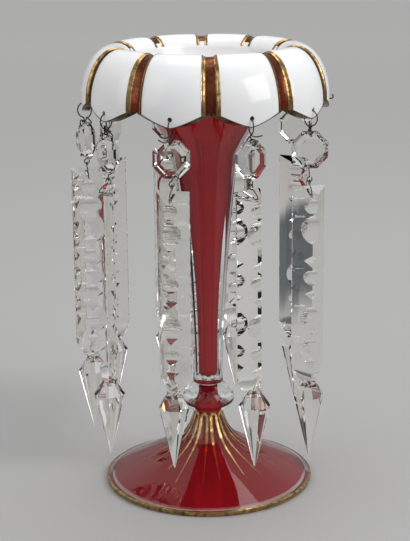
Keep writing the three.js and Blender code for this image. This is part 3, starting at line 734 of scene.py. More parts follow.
stem_ruby = lathe("stem_ruby", ruby_line)
reshape(stem_ruby, ruby_line, {**with_lip("outer", outer_rule), **with_lip("inner", inner_rule)})
print("stem_ruby", len(stem_ruby.data.polygons), "faces")

# %% [markdown]
# The foot's ruby stops 6 mm inside the foot's edge, where the clear glass takes over. Its profile
# is two lines a layer apart, which meet at that edge and at the hollow's top on the axis.

# %% Ruby in the foot
RUBY_MARGIN = 6.0
HOLLOW_FOOT = 48.5  # above this height the layer follows the hollow in the knop
ruby_edge = FOOT_RADIUS - RUBY_MARGIN
outer_layer = foot_line(FOOT_GLASS - INSET - RUBY_GLASS, ruby_edge + 1.2, part="plain")
inner_layer = foot_line(FOOT_GLASS - INSET, ruby_edge, part="plain")
foot_ruby_line = list(reversed(knop_hollow(INSET + RUBY_GLASS, "plain")[1:]))
foot_ruby_line += [p for p in outer_layer if p[1] < HOLLOW_FOOT]
foot_ruby_line += [p for p in reversed(inner_layer) if p[1] < HOLLOW_FOOT]
foot_ruby_line += knop_hollow(INSET, "plain")[1:]
foot_ruby = lathe("foot_ruby", foot_ruby_line)
print("foot_ruby", len(foot_ruby.data.polygons), "faces")

# %% [markdown]
# ## The white petals
#
# The white is a skin 1.2 mm thick. Its visible surface is turned first, as an open sheet. The
# faces of the ten cuts are deleted, with two short tails at the inner end of each, then the sheet
# is shaped and given its thickness inwards.

# %% The faces of a cut
CUT_END = THROAT + (TOP - THROAT) * math.sin(math.radians(37))
TAILS_END = THROAT + (TOP - THROAT) * math.sin(math.radians(20))
TAIL_INSIDE = 2  # degrees from the cut's middle to a tail's inner side


def in_cut(centre, normal):
    """A face of a cut: its whole width as far as the lip, then only its two tails."""
    r, azimuth = math.hypot(centre.x, centre.y), math.degrees(math.atan2(centre.x, -centre.y))
    away = from_slot(azimuth)
    reach = r > CREST_RADIUS or centre.z > CUT_END or (centre.z > TAILS_END and away > TAIL_INSIDE)
    return away < SLOT_HALF and reach


print("the cuts end at", round(CUT_END, 1), "mm and their tails at", round(TAILS_END, 1), "mm")

# %% Turn the white skin
white_line = crown_line(0, "petal")
for share in FLARE_SHARES:
    z = lerp(STEM_TOP, THROAT, share)
    if z > WHITE_END:
        r = flare(share, BORE_TOP_RADIUS, CAVITY_THROAT_RADIUS) - WHITE_SEAT
        white_line.append((r, z, "throat"))


def petal_rule(azimuth, r, z, lip=False):
    height = TOP if lip else z
    depth = min(puff(azimuth, height), PUFF)
    if lip:
        depth *= lip_share(z)
    return on_crown(azimuth, 0, r, z, depth, lip)


petals_white = lathe("petals_white", white_line)
select_faces(petals_white, in_cut)
bpy.ops.mesh.delete(type="FACE")
leave_edit_mode()
reshape(petals_white, white_line, with_lip("petal", petal_rule))


def apply_modifier(piece, kind, **settings):
    pick(piece)
    modifier = piece.modifiers.new(kind.lower(), kind)
    for name, value in settings.items():
        setattr(modifier, name, value)
    bpy.ops.object.modifier_apply(modifier=modifier.name)


apply_modifier(petals_white, "SOLIDIFY", thickness=mm(WHITE_GLASS), offset=-1, use_even_offset=True)
print("petals_white", len(petals_white.data.polygons), "faces")

# %% [markdown]
# ## The gilding
#
# Gilding lies along both sides of every cut, from the hem over the crest to the two tails in the
# throat, and along the hem itself. One strip is drawn along the crown's line, spun through the
# width of a cut's side and given a thickness of a tenth of a millimetre, more than the real film
# has, so that it stands clear of the glass. The cut's other side is drawn and spun the other way.
# Between the two a thin brown film covers the ruby: partly worn gilding, partly painted shade that
# darkens the hollow of the cut. It has no thickness, lies just over the hollow of the cut, and a
# positive spin takes it towards smaller azimuths.

# %% How deep a strip lies
# degrees from the cut's middle, and depth under the petal's edge
STRIP = [(4.3, -0.1), (4.05, -0.05), (3.85, 0.2), (3.5, 0.8), (3.1, 1.2), (2.7, 1.4), (2.4, 1.5)]
STRIP_OUT, STRIP_IN = STRIP[0][0], STRIP[-1][0]
STRIP_END = 293.0  # where a strip ends inside the crest
CREST_STRIP = 0.62  # the share of a strip's depth that is left at the crest
FILM = 0.1
SHADE_FILM_LIFT = 0.07


def strip_depth(azimuth, z):
    away = from_slot(azimuth)
    if away >= STRIP_OUT:
        return puff(azimuth, z) + STRIP[0][1]
    depth = STRIP[-1][1]
    for (a, deep), (b, deeper) in zip(STRIP, STRIP[1:]):
        if away >= b:
            depth = lerp(deeper, deep, (away - b) / (a - b))
            break
    return edge_puff(z) + depth * (lerp(CREST_STRIP, 1, fullness(z)) if depth > 0 else 1)


print("a strip is", round(STRIP_OUT - STRIP_IN, 1), "degrees wide")


# %% Strips along the cuts
def strip_rule(azimuth, r, z, lip=False):
    depth = strip_depth(azimuth, TOP if lip else z)
    if lip:
        depth = lerp(-0.1, depth, lip_share(z))
    return on_crown(azimuth, 0, r, z, depth, lip)


# the film that darkens each cut's hollow, partly worn gilding and partly painted shade
def shade_film_rule(azimuth, r, z, lip=False):
    depth = flute_depth(azimuth, TOP if lip else z) - SHADE_FILM_LIFT
    if lip:
        depth = lerp(WHITE_SEAT - SHADE_FILM_LIFT, depth, lip_share(z))
    return on_crown(azimuth, 0, r, z, depth, lip)


strip_line = [p for p in crown_line(0, "petal") if p[0] > CREST_RADIUS or p[1] > STRIP_END]
strips, shade_films = [], []
for i in range(PETALS):
    middle = PETAL_1 + (i + 0.5) * PITCH_ANGLE
    bands = [(strips, strip_rule, middle - STRIP_OUT, 10, STRIP_IN - STRIP_OUT),
             (strips, strip_rule, middle + STRIP_OUT, 10, STRIP_OUT - STRIP_IN),
             (shade_films, shade_film_rule, middle + STRIP_IN, 8, 2 * STRIP_IN)]
    for kept, rule, start, steps, degrees in bands:
        band = draw_chain("band", [around(start, r, z) for r, z, _ in strip_line])
        spin(steps, degrees)
        reshape(band, strip_line, with_lip("petal", rule))
        kept.append(band)
print(len(strips), "strips,", len(shade_films), "shade_films")


# %% [markdown]
# The strips are joined into one piece and the films into another. Their normals have to look out of
# the glass. A face looks inwards if it looks towards a ring that runs inside the rolled rim, and
# such faces are flipped before the strips get their thickness.

# %% Join the strips
def join(pieces, name):
    deselect()
    for piece in pieces:
        piece.select_set(True)
    bpy.context.view_layer.objects.active = pieces[0]
    bpy.ops.object.join()
    piece = bpy.context.object
    piece.name = piece.data.name = name
    return piece


def looks_inwards(centre, normal):
    """True for a face of the crown that looks at the ring inside the rolled rim."""
    ring = around(math.degrees(math.atan2(centre.x, -centre.y)), CREST_RADIUS + 3, WIDEST + 5) * 1000
    return (centre - ring).dot(normal) < 0


slot_gilding = join(strips, "slot_gilding")
slot_shade_film = join(shade_films, "slot_shade_film")
for piece in (slot_gilding, slot_shade_film):
    select_faces(piece, looks_inwards)
    bpy.ops.mesh.flip_normals()
    leave_edit_mode()
apply_modifier(slot_gilding, "SOLIDIFY", thickness=mm(FILM), offset=1)
print("slot_gilding", len(slot_gilding.data.polygons), "faces, film", len(slot_shade_film.data.polygons))

# %% [markdown]
# The hem's cut edge is bevelled: it faces outwards and down, and is widest beside the cuts. Its
# gilding is rubbed to a dull olive brown. A line half a millimetre high shows on the white above it.

# %% Gilding on the hem's bevel
HEM_STEPS = 5
HEM_LINE = 0.4  # how far the gilding goes up the white
HEM_CLEAR = 0.12  # how far it lies under the glass
hem_line = [(WIDEST_RADIUS + 0.1, HEM_TIP + HEM_LINE, "above")]
for i in range(HEM_STEPS + 1):
    hem_line.append((WIDEST_RADIUS - BRIM_GLASS * i / HEM_STEPS, HEM_TIP - HEM_CLEAR, f"bevel_{i}"))


def bevel_rule(share, over):
    """A rule for one of the lines along the bevel, at a share of its way from outside to inside."""
    def rule(azimuth, r, z):
        inside = from_slot(azimuth) < SLOT_HALF + 0.3
        outer = strip_depth(azimuth, HEM_TIP) if inside else puff(azimuth, HEM_TIP) - 0.1
        return on_crown(azimuth, 0, r, HEM_TIP + over, lerp(outer, BRIM_GLASS, share))
    return rule


hem_rules = {f"bevel_{i}": bevel_rule(i / HEM_STEPS, -HEM_CLEAR) for i in range(HEM_STEPS + 1)}
hem_rules["above"] = bevel_rule(0, HEM_LINE)
hem_gilding = lathe("hem_gilding", hem_line)
reshape(hem_gilding, hem_line, hem_rules)
apply_modifier(hem_gilding, "SOLIDIFY", thickness=mm(FILM), offset=0)
print("hem_gilding", len(hem_gilding.data.polygons), "faces")

# %% [markdown]
# The foot has a gilt edge, turned as the body is.

# %% Gilding on the foot's edge
foot_rim = [(-1.3, 3.95), (-0.6, 3.75), (0.1, 3.3), (0.12, 2.2), (-0.15, 0.95), (-1.0, 0.2)]
foot_gilding = lathe("foot_gilding", [(FOOT_RADIUS + more, z, "plain") for more, z in foot_rim])
apply_modifier(foot_gilding, "SOLIDIFY", thickness=mm(FILM), offset=1)
print("foot_gilding", len(foot_gilding.data.polygons), "faces")

# %% [markdown]
# A pair of fine gilt lines runs beside each corner of the foot's panels. Each pair is joined by a
# small arch just under the knop and narrows to a quarter of its width down the cone, at a length
# that differs a little from line to line, as a brush leaves it. A curve with a flat section would
# not lie on the cone, so each line is two chains of points over the surface, bridged into a ribbon.

# %% A ribbon on the foot
LINE_LIFT, LINE_FILM = 0.12, 0.08


def on_foot(azimuth, r, lift):
    """A place just over the foot's panelled surface."""
    radius, z = foot_rule(azimuth, r, foot_height(r))
    fall, length = foot_slope(r)
    return around(azimuth, radius + lift * fall / length, z + lift / length)


def ribbon(name, path, width):
    """A flat strip along a path on the foot, given as azimuth and radius, narrower down the cone."""
    left, right = [], []
    for i, (azimuth, r) in enumerate(path):
        before, after = path[max(i - 1, 0)], path[min(i + 1, len(path) - 1)]
        along = on_foot(*after, 0) - on_foot(*before, 0)
        out = (on_foot(azimuth, r, 1) - on_foot(azimuth, r, 0)).normalized()
        across = along.cross(out).normalized()
        half = mm(width / 2) * (1 - 0.75 * smooth((r - 13) / 30))
        left.append(on_foot(azimuth, r, LINE_LIFT) + across * half)
        right.append(on_foot(azimuth, r, LINE_LIFT) - across * half)
    sides = []
    for points in (left, right):
        sides.append(draw_chain(name, points))
        bpy.ops.object.mode_set(mode="OBJECT")
    piece = join(sides, name)
    bpy.ops.object.mode_set(mode="EDIT")
    bpy.ops.mesh.select_all(action="SELECT")
    bpy.ops.mesh.bridge_edge_loops()
    bpy.ops.object.mode_set(mode="OBJECT")
    return piece


# %% Lines on the foot
LINE_SPREAD = 11.0  # degrees each side of a panel's corner
LINE_WIDTH = 1.8
LINE_ENDS = [46, 41, 48, 44, 47, 40, 45, 43, 48, 42]

lines = []
for i, end in enumerate(LINE_ENDS):
    corner = PETAL_1 + i * PITCH_ANGLE
    radii = [end + 2 - k * 1.5 for k in range(40) if end + 2 - k * 1.5 > NECK_RADIUS + 1.0]
    path = [(corner - LINE_SPREAD, r) for r in radii]
    for angle in range(0, 181, 30):
        turn = LINE_SPREAD * math.cos(math.radians(180 - angle))
        path.append((corner + turn, NECK_RADIUS + 0.9 - 0.7 * math.sin(math.radians(angle))))
    path += [(corner + LINE_SPREAD, r) for r in reversed(radii)]
    lines.append(ribbon("line", path, LINE_WIDTH))
foot_lines = join(lines, "foot_lines")
select_faces(foot_lines, lambda centre, normal: normal.z < 0)
bpy.ops.mesh.flip_normals()
leave_edit_mode()
apply_modifier(foot_lines, "SOLIDIFY", thickness=mm(LINE_FILM), offset=1)
print("foot_lines", len(foot_lines.data.polygons), "faces")

# %% [markdown]
# ## Drilling the hem
#
# Each petal has a hole for its wire, 5.5 mm above the tip. One cutter, ten rods joined, goes
# through the white, the body and the ruby, as the real drill does.

# %% Cutters
ACROSS_X, ACROSS_Y = (0, math.pi / 2, 0), (math.pi / 2, 0, 0)


def rod(radius, length, location, rotation, sides=16):
    """A round or many-sided cutter."""
    deselect()
    bpy.ops.mesh.primitive_cylinder_add(vertices=sides, radius=mm(radius), depth=mm(length),
                                        location=location, rotation=rotation)
    return bpy.context.object


def boolean(piece, cutter, operation="DIFFERENCE"):
    apply_modifier(piece, "BOOLEAN", operation=operation, object=cutter, solver="EXACT")


def use_up(cutter, piece, operation="DIFFERENCE"):
    """Cuts or joins one piece with a cutter that isn't needed again."""
    boolean(piece, cutter, operation)
    bpy.data.objects.remove(cutter)


# %% Drill the holes
HANG_RADIUS, RIM_HOLE = 78.43, 263.1
PETAL_HOLE = 1.5  # radius

drills = []
for i in range(PETALS):
    azimuth = PETAL_1 + i * PITCH_ANGLE
    turned = (math.pi / 2, 0, math.radians(azimuth))
    drills.append(rod(PETAL_HOLE, 14, around(azimuth, HANG_RADIUS, RIM_HOLE), turned))
cutter = join(drills, "drills")
for piece in (petals_white, vase_glass, stem_ruby):
    boolean(piece, cutter)
bpy.data.objects.remove(cutter)
print("drilled", PETALS, "holes")

# %% [markdown]
# ## The octagon beads
#
# Each bead is an eight-sided slab of crystal. Broad facets run round each face up to the table, and
# two holes are drilled through it for the wires. Extruding each face and shrinking it gives the
# facets in one move. The bead is cut once, with its faces across X, and copied.

# %% Cut one octagon
OCTAGON_WIDTH, OCTAGON_HEIGHT, OCTAGON_MIDDLE = 23.0, 23.5, 237.25
GIRDLE, OCTAGON_DEPTH, TABLE = 2.4, 8.4, 14.6
BEAD_HOLE = 9.45  # from the bead's middle up and down to its holes
DROP_HOLE = 1.1  # radius
HALF_SIDE = math.pi / 8  # half the angle that one side of an octagon takes up

bead = rod(OCTAGON_WIDTH / 2 / math.cos(HALF_SIDE), GIRDLE, (0, 0, 0), (0, 0, 0), sides=8)
bead.name = bead.data.name = "bead"
bpy.ops.object.mode_set(mode="EDIT")
bpy.ops.mesh.select_all(action="SELECT")
bpy.ops.transform.rotate(value=HALF_SIDE, orient_axis="Z", center_override=(0, 0, 0))
for side in (1, -1):
    select_faces(bead, lambda centre, normal: normal.z * side > 0.9)
    rise, shrink = (OCTAGON_DEPTH - GIRDLE) / 2, TABLE / OCTAGON_WIDTH
    bpy.ops.mesh.extrude_region_move(TRANSFORM_OT_translate={"value": (0, 0, side * mm(rise))})
    bpy.ops.transform.resize(value=(shrink, shrink, 1), center_override=(0, 0, 0))
bpy.ops.mesh.select_mode(type="VERT")
bpy.ops.mesh.select_all(action="SELECT")
bpy.ops.mesh.normals_make_consistent(inside=False)
bpy.ops.object.mode_set(mode="OBJECT")
bead.rotation_euler = ACROSS_X
bead.scale = (OCTAGON_HEIGHT / OCTAGON_WIDTH, 1, 1)
bpy.ops.object.transform_apply(location=True, rotation=True, scale=True)
for z in (BEAD_HOLE, -BEAD_HOLE):
    use_up(rod(DROP_HOLE, 20, mm(0, 0, z), ACROSS_X), bead)
print("bead", len(bead.data.polygons), "faces")

# %% [markdown]
# ## The notched prisms
#
# A long bar hangs under each bead and ends in a spear. The bar has a flat back, a bevel along each
# side, and a ridge down the front. Across the ridge a wheel has ground a row of hollows: a round
# wheel leaves a lens, a long one leaves an oval, and a pointed one leaves a lozenge. In this row
# they have the real order and lengths. The bar is its outline extruded downwards, the spear is
# joined to it, and each hollow is cut with a copy of the wheel that would have ground it.

# %% Measures of the bar
BACK, RIDGE = 3.0, 9.0  # from the hanging line
BAR_SECTION = [(-BACK, -10.5), (-BACK, 10.5), (-1.8, 10.5), (1.2, 7.5), (RIDGE, 0.0), (1.2, -7.5),
               (-1.8, -10.5)]
SPEAR_RADIUS, SPEAR_MIDDLE = 10.2, 3.0
SPEAR_CORNERS = [math.tau * i / 8 for i in range(8)]
SPEAR_SECTION = [(SPEAR_RADIUS * math.cos(a), SPEAR_RADIUS * math.sin(a)) for a in SPEAR_CORNERS]
# height over the bar's top, share of the width, share of the depth
BAR_RINGS = [(0.0, 1.0, 1.0), (-117.5, 1.0, 1.0), (-122.0, 0.93, 0.97), (-125.5, 0.76, 0.9),
             (-128.0, 0.55, 0.8), (-129.5, 0.44, 0.7)]
SPEAR_RINGS = [(-127.5, 0.42, 0.42), (-130.0, 0.45, 0.45), (-138.5, 1.0, 1.0), (-179.9, 0.05, 0.05)]
# middle over the bar's top, height along the ridge, depth, kind
NOTCHES = [(-11.5, 9.8, 4.7, "round"), (-26.6, 19.0, 6.4, "round"), (-47.2, 8.2, 4.6, "pointed"),
           (-58.0, 9.8, 4.9, "round"), (-69.2, 6.2, 4.2, "pointed"), (-86.2, 18.4, 6.3, "round"),
           (-104.2, 9.2, 4.8, "round"), (-115.2, 8.4, 4.4, "pointed")]
print("bar", -BAR_RINGS[-1][0], "mm and spear", SPEAR_RINGS[0][0] - SPEAR_RINGS[-1][0], "mm long")


# %% The bar and its spear
def ring_solid(name, section, rings):
    """A closed body from one outline, drawn once and extruded from ring to ring."""
    z, across, deep = rings[0]
    piece = draw_chain(name, [Vector(mm(x * deep, y * across, z)) for x, y in section])
    bpy.ops.mesh.select_all(action="SELECT")
    bpy.ops.mesh.edge_face_add()
    for (z, across, deep), (lower, next_across, next_deep) in zip(rings, rings[1:]):
        bpy.ops.mesh.extrude_region_move(TRANSFORM_OT_translate={"value": (0, 0, mm(lower - z))})
        bpy.ops.transform.resize(value=(next_deep / deep, next_across / across, 1), center_override=(0, 0, 0))
    bpy.ops.mesh.select_all(action="SELECT")
    bpy.ops.mesh.normals_make_consistent(inside=False)
    bpy.ops.object.mode_set(mode="OBJECT")
    return piece


prism = ring_solid("prism", BAR_SECTION, BAR_RINGS)
spear = ring_solid("spear_end", SPEAR_SECTION, SPEAR_RINGS)
pick(spear)
bpy.ops.transform.translate(value=(mm(SPEAR_MIDDLE), 0, 0))
use_up(spear, prism, "UNION")
print("prism", len(prism.data.polygons), "faces before it is ground")

# %% Grind the hollows
WHEEL_WIDTH = 40
for middle, height, depth, kind in NOTCHES:
    if kind == "round":
        radius = ((height / 2) ** 2 + depth ** 2) / (2 * depth)
        wheel = rod(radius, WHEEL_WIDTH, mm(RIDGE - depth + radius, 0, middle), ACROSS_Y, sides=96)
    else:
        wheel = rod(height, WHEEL_WIDTH, mm(RIDGE + depth, 0, middle), ACROSS_Y, sides=4)
        wheel.scale = (2 * depth / height, 1, 1)
    use_up(wheel, prism)
print("prism", len(prism.data.polygons), "faces with", len(NOTCHES), "hollows")

# %% [markdown]
# The bar's top slants from the back edge down to the ridge, which leaves room for the hook that
# comes up in front of it. A cube whose lower face lies on the slant cuts it. One hole goes through
# from front to back, 5 mm under the top's back edge.

# %% The top of the bar
TOP_SLANT = 8.0  # from the back edge of the top down to the ridge
WEDGE = 40.0
slant = math.atan2(TOP_SLANT, BACK + RIDGE)
deselect()
bpy.ops.mesh.primitive_cube_add(size=mm(WEDGE), rotation=(0, slant, 0), location=mm(
    (RIDGE - BACK) / 2 + WEDGE / 2 * math.sin(slant), 0, WEDGE / 2 * math.cos(slant) - TOP_SLANT / 2))
use_up(bpy.context.object, prism)
use_up(rod(DROP_HOLE, 30, mm(0, 0, -5), ACROSS_X), prism)
deselect()
bpy.context.view_layer.objects.active = prism
bpy.ops.object.mode_set(mode="EDIT")
bpy.ops.mesh.select_all(action="SELECT")
bpy.ops.mesh.remove_doubles(threshold=mm(0.002))
bpy.ops.object.mode_set(mode="OBJECT")
print("prism", len(prism.data.polygons), "faces, box", [round(v * 1000, 1) for v in prism.dimensions])

# %% [markdown]
# ## Wires
#
# Each bead hangs from its petal on a ring of soft iron wire, closed by a few turns of its own end.
# A headed pin goes through the bead's lower hole and ends in an eye. A second pin, with its head on
# the prism's flat back, goes through the bar, up in front of its slanted top, and hooks into that
# eye. A wire is a path of points given a round section, because a few points and one radius say all
# there is to say about it, and then it is made a mesh.

# %% Bending wires
def smooth_path(points, steps=6):
    """More points on a smooth curve through the given ones."""
    path, last = [], len(points) - 1
    for i in range(last):
        p0, p1, p2, p3 = (Vector(points[clamp(i + k, 0, last)]) for k in (-1, 0, 1, 2))
        for k in range(steps):
            t = k / steps
            path.append(0.5 * ((2 * p1) + (p2 - p0) * t + (2 * p0 - 5 * p1 + 4 * p2 - p3) * t ** 2
                               + (3 * p1 - p0 - 3 * p2 + p3) * t ** 3))
    path.append(Vector(points[-1]))
    return path


def bend_wire(name, points, radius):
    deselect()
    bpy.ops.curve.primitive_nurbs_path_add(location=(0, 0, 0))
    piece = bpy.context.object
    piece.name = name
    curve = piece.data
    curve.splines.clear()
    spline = curve.splines.new("POLY")
    path = smooth_path(points)
    spline.points.add(len(path) - 1)
    for point, place in zip(spline.points, path):
        point.co = (*mm(*place), 1)
    curve.bevel_depth = mm(radius)
    curve.bevel_resolution = 1
    curve.use_fill_caps = True
    bpy.ops.object.convert(target="MESH")
    return bpy.context.object


# %% Twists, circles and heads
def twist(centre_top, centre_low, radius, turns, phase, steps=14):
    """One strand of a twisted pair, from the top down."""
    points = []
    for i in range(steps + 1):
        share = i / steps
        angle = math.radians(phase) + math.tau * turns * share
        x = lerp(centre_top[0], centre_low[0], share) + radius * math.cos(angle)
        y = lerp(centre_top[1], centre_low[1], share) + radius * math.sin(angle)
        points.append((x, y, lerp(centre_top[2], centre_low[2], share)))
    return points


def circle(middle, plane, start, end, radius, steps):
    """Part of a circle about a height on the axis, in an upright plane."""
    p = math.radians(plane)
    points = []
    for i in range(steps + 1):
        a = math.radians(lerp(start, end, i / steps))
        q = radius * math.cos(a)
        points.append((q * math.cos(p), q * math.sin(p), middle + radius * math.sin(a)))
    return points


def headed(wire, x, z):
    """Adds the flattened head that keeps a pin in its hole."""
    deselect()
    bpy.ops.mesh.primitive_uv_sphere_add(segments=14, ring_count=8, radius=mm(1.0), location=mm(x, 0, z),
                                         scale=(0.5, 1, 1))
    return join([wire, bpy.context.object], wire.name)


# %% [markdown]
# The rim ring goes through the petal, comes together under the hem, twists about one and a half
# times, and opens into the loop that carries the bead. Its loose tail sticks out to one side. The
# ring is rounder outside the petal, so that it can turn through the hole when the drop swings.

# %% The rim ring
RING_HALF_WIDTH, RING_OUTER_HALF, RING_HALF_HEIGHT = 3.9, 5.0, 5.2
OCTAGON_PIVOT = 247.0
HOLE_HALF = 3.15  # half the bead's thickness at its holes
RING_WIRE = 0.42  # radius


def rim_wire_points(faces, raised, tail, loose=()):
    middle = RIM_HOLE - RING_HALF_HEIGHT
    side = -1 if faces > 0 else 1
    ring = []
    for i in range(13):
        a = math.radians(-75 + i * 330 / 12)
        shift = side * lerp(0.5, -0.5, i / 12)
        wide = RING_OUTER_HALF if math.cos(a) > 0 else RING_HALF_WIDTH
        ring.append((wide * math.cos(a), shift, middle + RING_HALF_HEIGHT * math.sin(a)))
    low = middle - RING_HALF_HEIGHT
    knot = twist((0, 0, low - 0.2), (0, 0, low - 3.4), RING_WIRE, 1.4, 90)
    a = math.radians(faces)
    half = HOLE_HALF + 0.3
    loop = [(half - 0.5, 3.4), (half + 0.4, 1.6), (half + 0.1, 0.3), (half - 0.6, 0), (0.6 - half, 0),
            (-half - 0.1, 0.3), (-half - 0.4, 1.6), (-1.9, 3.9), (-0.4, 5.0)]
    foot = [(q * math.cos(a), q * math.sin(a), OCTAGON_PIVOT + raised + lift) for q, lift in loop]
    foot += [(x, y, low + z) for x, y, z in loose]
    end = [(tail[0], tail[1], low + tail[2])]
    return end + [(tail[0] * 0.45, tail[1] * 0.45, low - 1.2)] + ring + knot[2:] + foot


print("ring", 2 * RING_HALF_HEIGHT, "mm high, of wire", 2 * RING_WIRE, "mm thick")

# %% The two pins
EYE_PIN, EYE_MIDDLE, HOOK_MIDDLE, HOOK_PIN = 227.4, 221.8, 219.7, 212.5
EYE_RADIUS = 1.6
PRISM_TOP = 217.1
PIN_WIRE = 0.36  # radius


def eye_pin_points(eye_plane, longer):
    back, eye = HOLE_HALF, EYE_MIDDLE - longer
    points = [(back + 0.9, 0, EYE_PIN), (-back - 0.2, 0, EYE_PIN), (-back - 0.8, 0, EYE_PIN - 0.7),
              (-back - 0.4, 0, EYE_PIN - 2), (-back + 1.1, 0, EYE_PIN - 3.1)]
    points.append((-0.6, 0, eye + EYE_RADIUS + 0.7))
    return points + circle(eye, eye_plane, 90, 400, EYE_RADIUS, 12)


def hook_pin_points():
    points = [(-BACK - 0.9, 0, HOOK_PIN), (5.0, 0, HOOK_PIN), (5.7, 0, HOOK_PIN + 0.8),
              (5.2, 0, HOOK_PIN + 2.2), (2.6, 0, PRISM_TOP + 0.3), (1.1, 0, HOOK_MIDDLE - EYE_RADIUS)]
    return points + circle(HOOK_MIDDLE, 180, -90, 195, EYE_RADIUS, 12)


print("eyes", 2 * EYE_RADIUS, "mm wide, of wire", 2 * PIN_WIRE, "mm thick")

# %% [markdown]
# ## Hanging the drops
#
# Each drop is turned its own way, as loose links let them. Every copy has its own mesh, and its
# place goes into the mesh so that the object itself stays at the origin.

# %% Place and finish a piece
def finish(piece, material, body, angle, nodes=()):
    """Gives a piece its material and its body, and rounds its shading up to an angle, in degrees."""
    pick(piece)
    bpy.ops.object.transform_apply(location=True, rotation=True, scale=True)
    piece.data.materials.clear()
    piece.data.materials.append(material)
    bpy.ops.object.shade_smooth_by_angle(angle=math.radians(angle))
    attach(piece, body)
    if nodes:
        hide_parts(*nodes)


def copy_of(master, name):
    piece = master.copy()
    piece.data = master.data.copy()
    piece.name = piece.data.name = name
    bpy.context.scene.collection.objects.link(piece)
    return piece


def hang(piece, azimuth, faces):
    """X of the piece then points towards the azimuth that it faces, under the petal's hole."""
    piece.rotation_euler = (0, 0, math.radians(faces - 90))
    piece.location = around(azimuth, HANG_RADIUS, 0)


# %% How each drop hangs
# azimuths that the octagon and the prism face, by how much the wire is shorter and the pin longer,
# where the wire's loose end is, and what else sticks out of its knot
DROPS = {
    1: (-62, 12, 1.3, -1, (2.2, 2.0, -2.0), []),
    2: (-55, -88, 0, 0, (-2.0, 1.6, -1.0), []),
    3: (-10, -15, 1.3, 0, (0.6, -11.5, 4.6), [(0.4, -3.0, -4.4), (0.6, -8.0, -2.4)]),
    4: (40, 45, 0, -1, (1.5, 7.0, -0.5), []),
    5: (8, 12, 0.6, 3.5, (1.8, -1.6, 2.4), []),
    7: (175, 150, 0, 0, (2.0, 2.4, 1.5), []),
    8: (160, 185, 0, 0, (-2.4, 1.5, 1.0), []),
    9: (215, 190, 0, 0, (2.0, -2.2, 1.6), []),
    10: (240, 225, 0, 0, (-1.5, 2.6, 2.0), []),
}
print(len(DROPS), "drops to hang")

# %% Hang nine drops
# the edges that stay sharp: all of a bead's, those between a prism's facets, a wire's cut ends
FLAT_ANGLE, WHEEL_ANGLE, WIRE_ANGLE = 1, 12, 60

for number, (octagon_faces, prism_faces, raised, longer, tail, loose) in DROPS.items():
    azimuth = PETAL_1 + (number - 1) * PITCH_ANGLE
    low = raised - longer
    ring_points = rim_wire_points(octagon_faces - azimuth, raised, tail, loose)
    ring = bend_wire(f"ring_wire_{number}", ring_points, RING_WIRE)
    hang(ring, azimuth, azimuth)
    finish(ring, IRON, f"wire_{number}", WIRE_ANGLE, [f"rim_wire_{number}"])

    octagon = copy_of(bead, f"octagon_bead_{number}")
    hang(octagon, azimuth, octagon_faces)
    octagon.location.z = mm(OCTAGON_MIDDLE + raised)
    finish(octagon, CRYSTAL, f"bead_{number}", FLAT_ANGLE, [f"octagon_{number}"])

    eye_points = eye_pin_points(prism_faces - octagon_faces + 90, longer)
    eye = bend_wire(f"bead_pin_{number}", eye_points, PIN_WIRE)
    eye = headed(eye, HOLE_HALF + 0.7, EYE_PIN)
    hang(eye, azimuth, octagon_faces)
    eye.location.z = mm(raised)
    finish(eye, IRON, f"bead_{number}", WIRE_ANGLE, [f"eye_pin_{number}"])

    hook = bend_wire(f"prism_hook_{number}", hook_pin_points(), PIN_WIRE)
    hook = headed(hook, -BACK - 0.7, HOOK_PIN)
    hang(hook, azimuth, prism_faces)
    hook.location.z = mm(low)
    finish(hook, IRON, f"hook_{number}", WIRE_ANGLE, [f"hook_pin_{number}"])

    spear = copy_of(prism, f"spear_prism_{number}")
    hang(spear, azimuth, prism_faces)
    spear.location.z = mm(PRISM_TOP + low)
    finish(spear, CRYSTAL, f"drop_{number}", WHEEL_ANGLE, [f"prism_{number}"])
bpy.data.objects.remove(bead)
bpy.data.objects.remove(prism)
print(len(DROPS), "drops hung")

# %% [markdown]
# The sixth petal has lost its drop. What is left is a short end of wire through its hole, bent up
# outside the petal and down inside it, and it stays with the vase.

# %% The bare petal's stub of wire
STUB_WIRE = 0.45  # radius
stub_azimuth = PETAL_1 + 5 * PITCH_ANGLE
stub_points = [(4.6, 0.6, 265.7), (5.3, 0.3, 264.4), (4.4, 0, 263.2), (2.7, 0, RIM_HOLE),
               (-2.3, 0, RIM_HOLE), (-3.0, 0, 262.4), (-3.1, 0.2, 260.1)]
stub = bend_wire("wire_stub", stub_points, STUB_WIRE)
hang(stub, stub_azimuth, stub_azimuth)
finish(stub, IRON, "vase", WIRE_ANGLE, ["rim_wire_6"])
print("wire_stub", len(stub.data.polygons), "faces")

# %% [markdown]
# The body, the two ruby layers and the white stand for the CAD nodes of the same glass. Gilding is
# a film that the CAD leaves out, so it stands for no node.

# %% Finish the vase's own pieces
finish(vase_glass, CLEAR_GLASS, "vase", 24, ["foot", "knop", "collar", "stem"])
finish(stem_ruby, RUBY, "vase", 40, ["stem_lining"])
finish(foot_ruby, DEEP_RUBY, "vase", 40, ["foot_lining"])
finish(petals_white, WHITE, "vase", 40, ["white_overlay"])
GILDED = [(slot_gilding, GILT), (slot_shade_film, WORN_GILT_AND_SHADE), (hem_gilding, HEM_GILT), (foot_gilding, GILT),
          (foot_lines, LINE_GILT)]
for piece, material in GILDED:
    finish(piece, material, "vase", 50)
print("finished 4 pieces of glass and", len(GILDED), "of gilding")
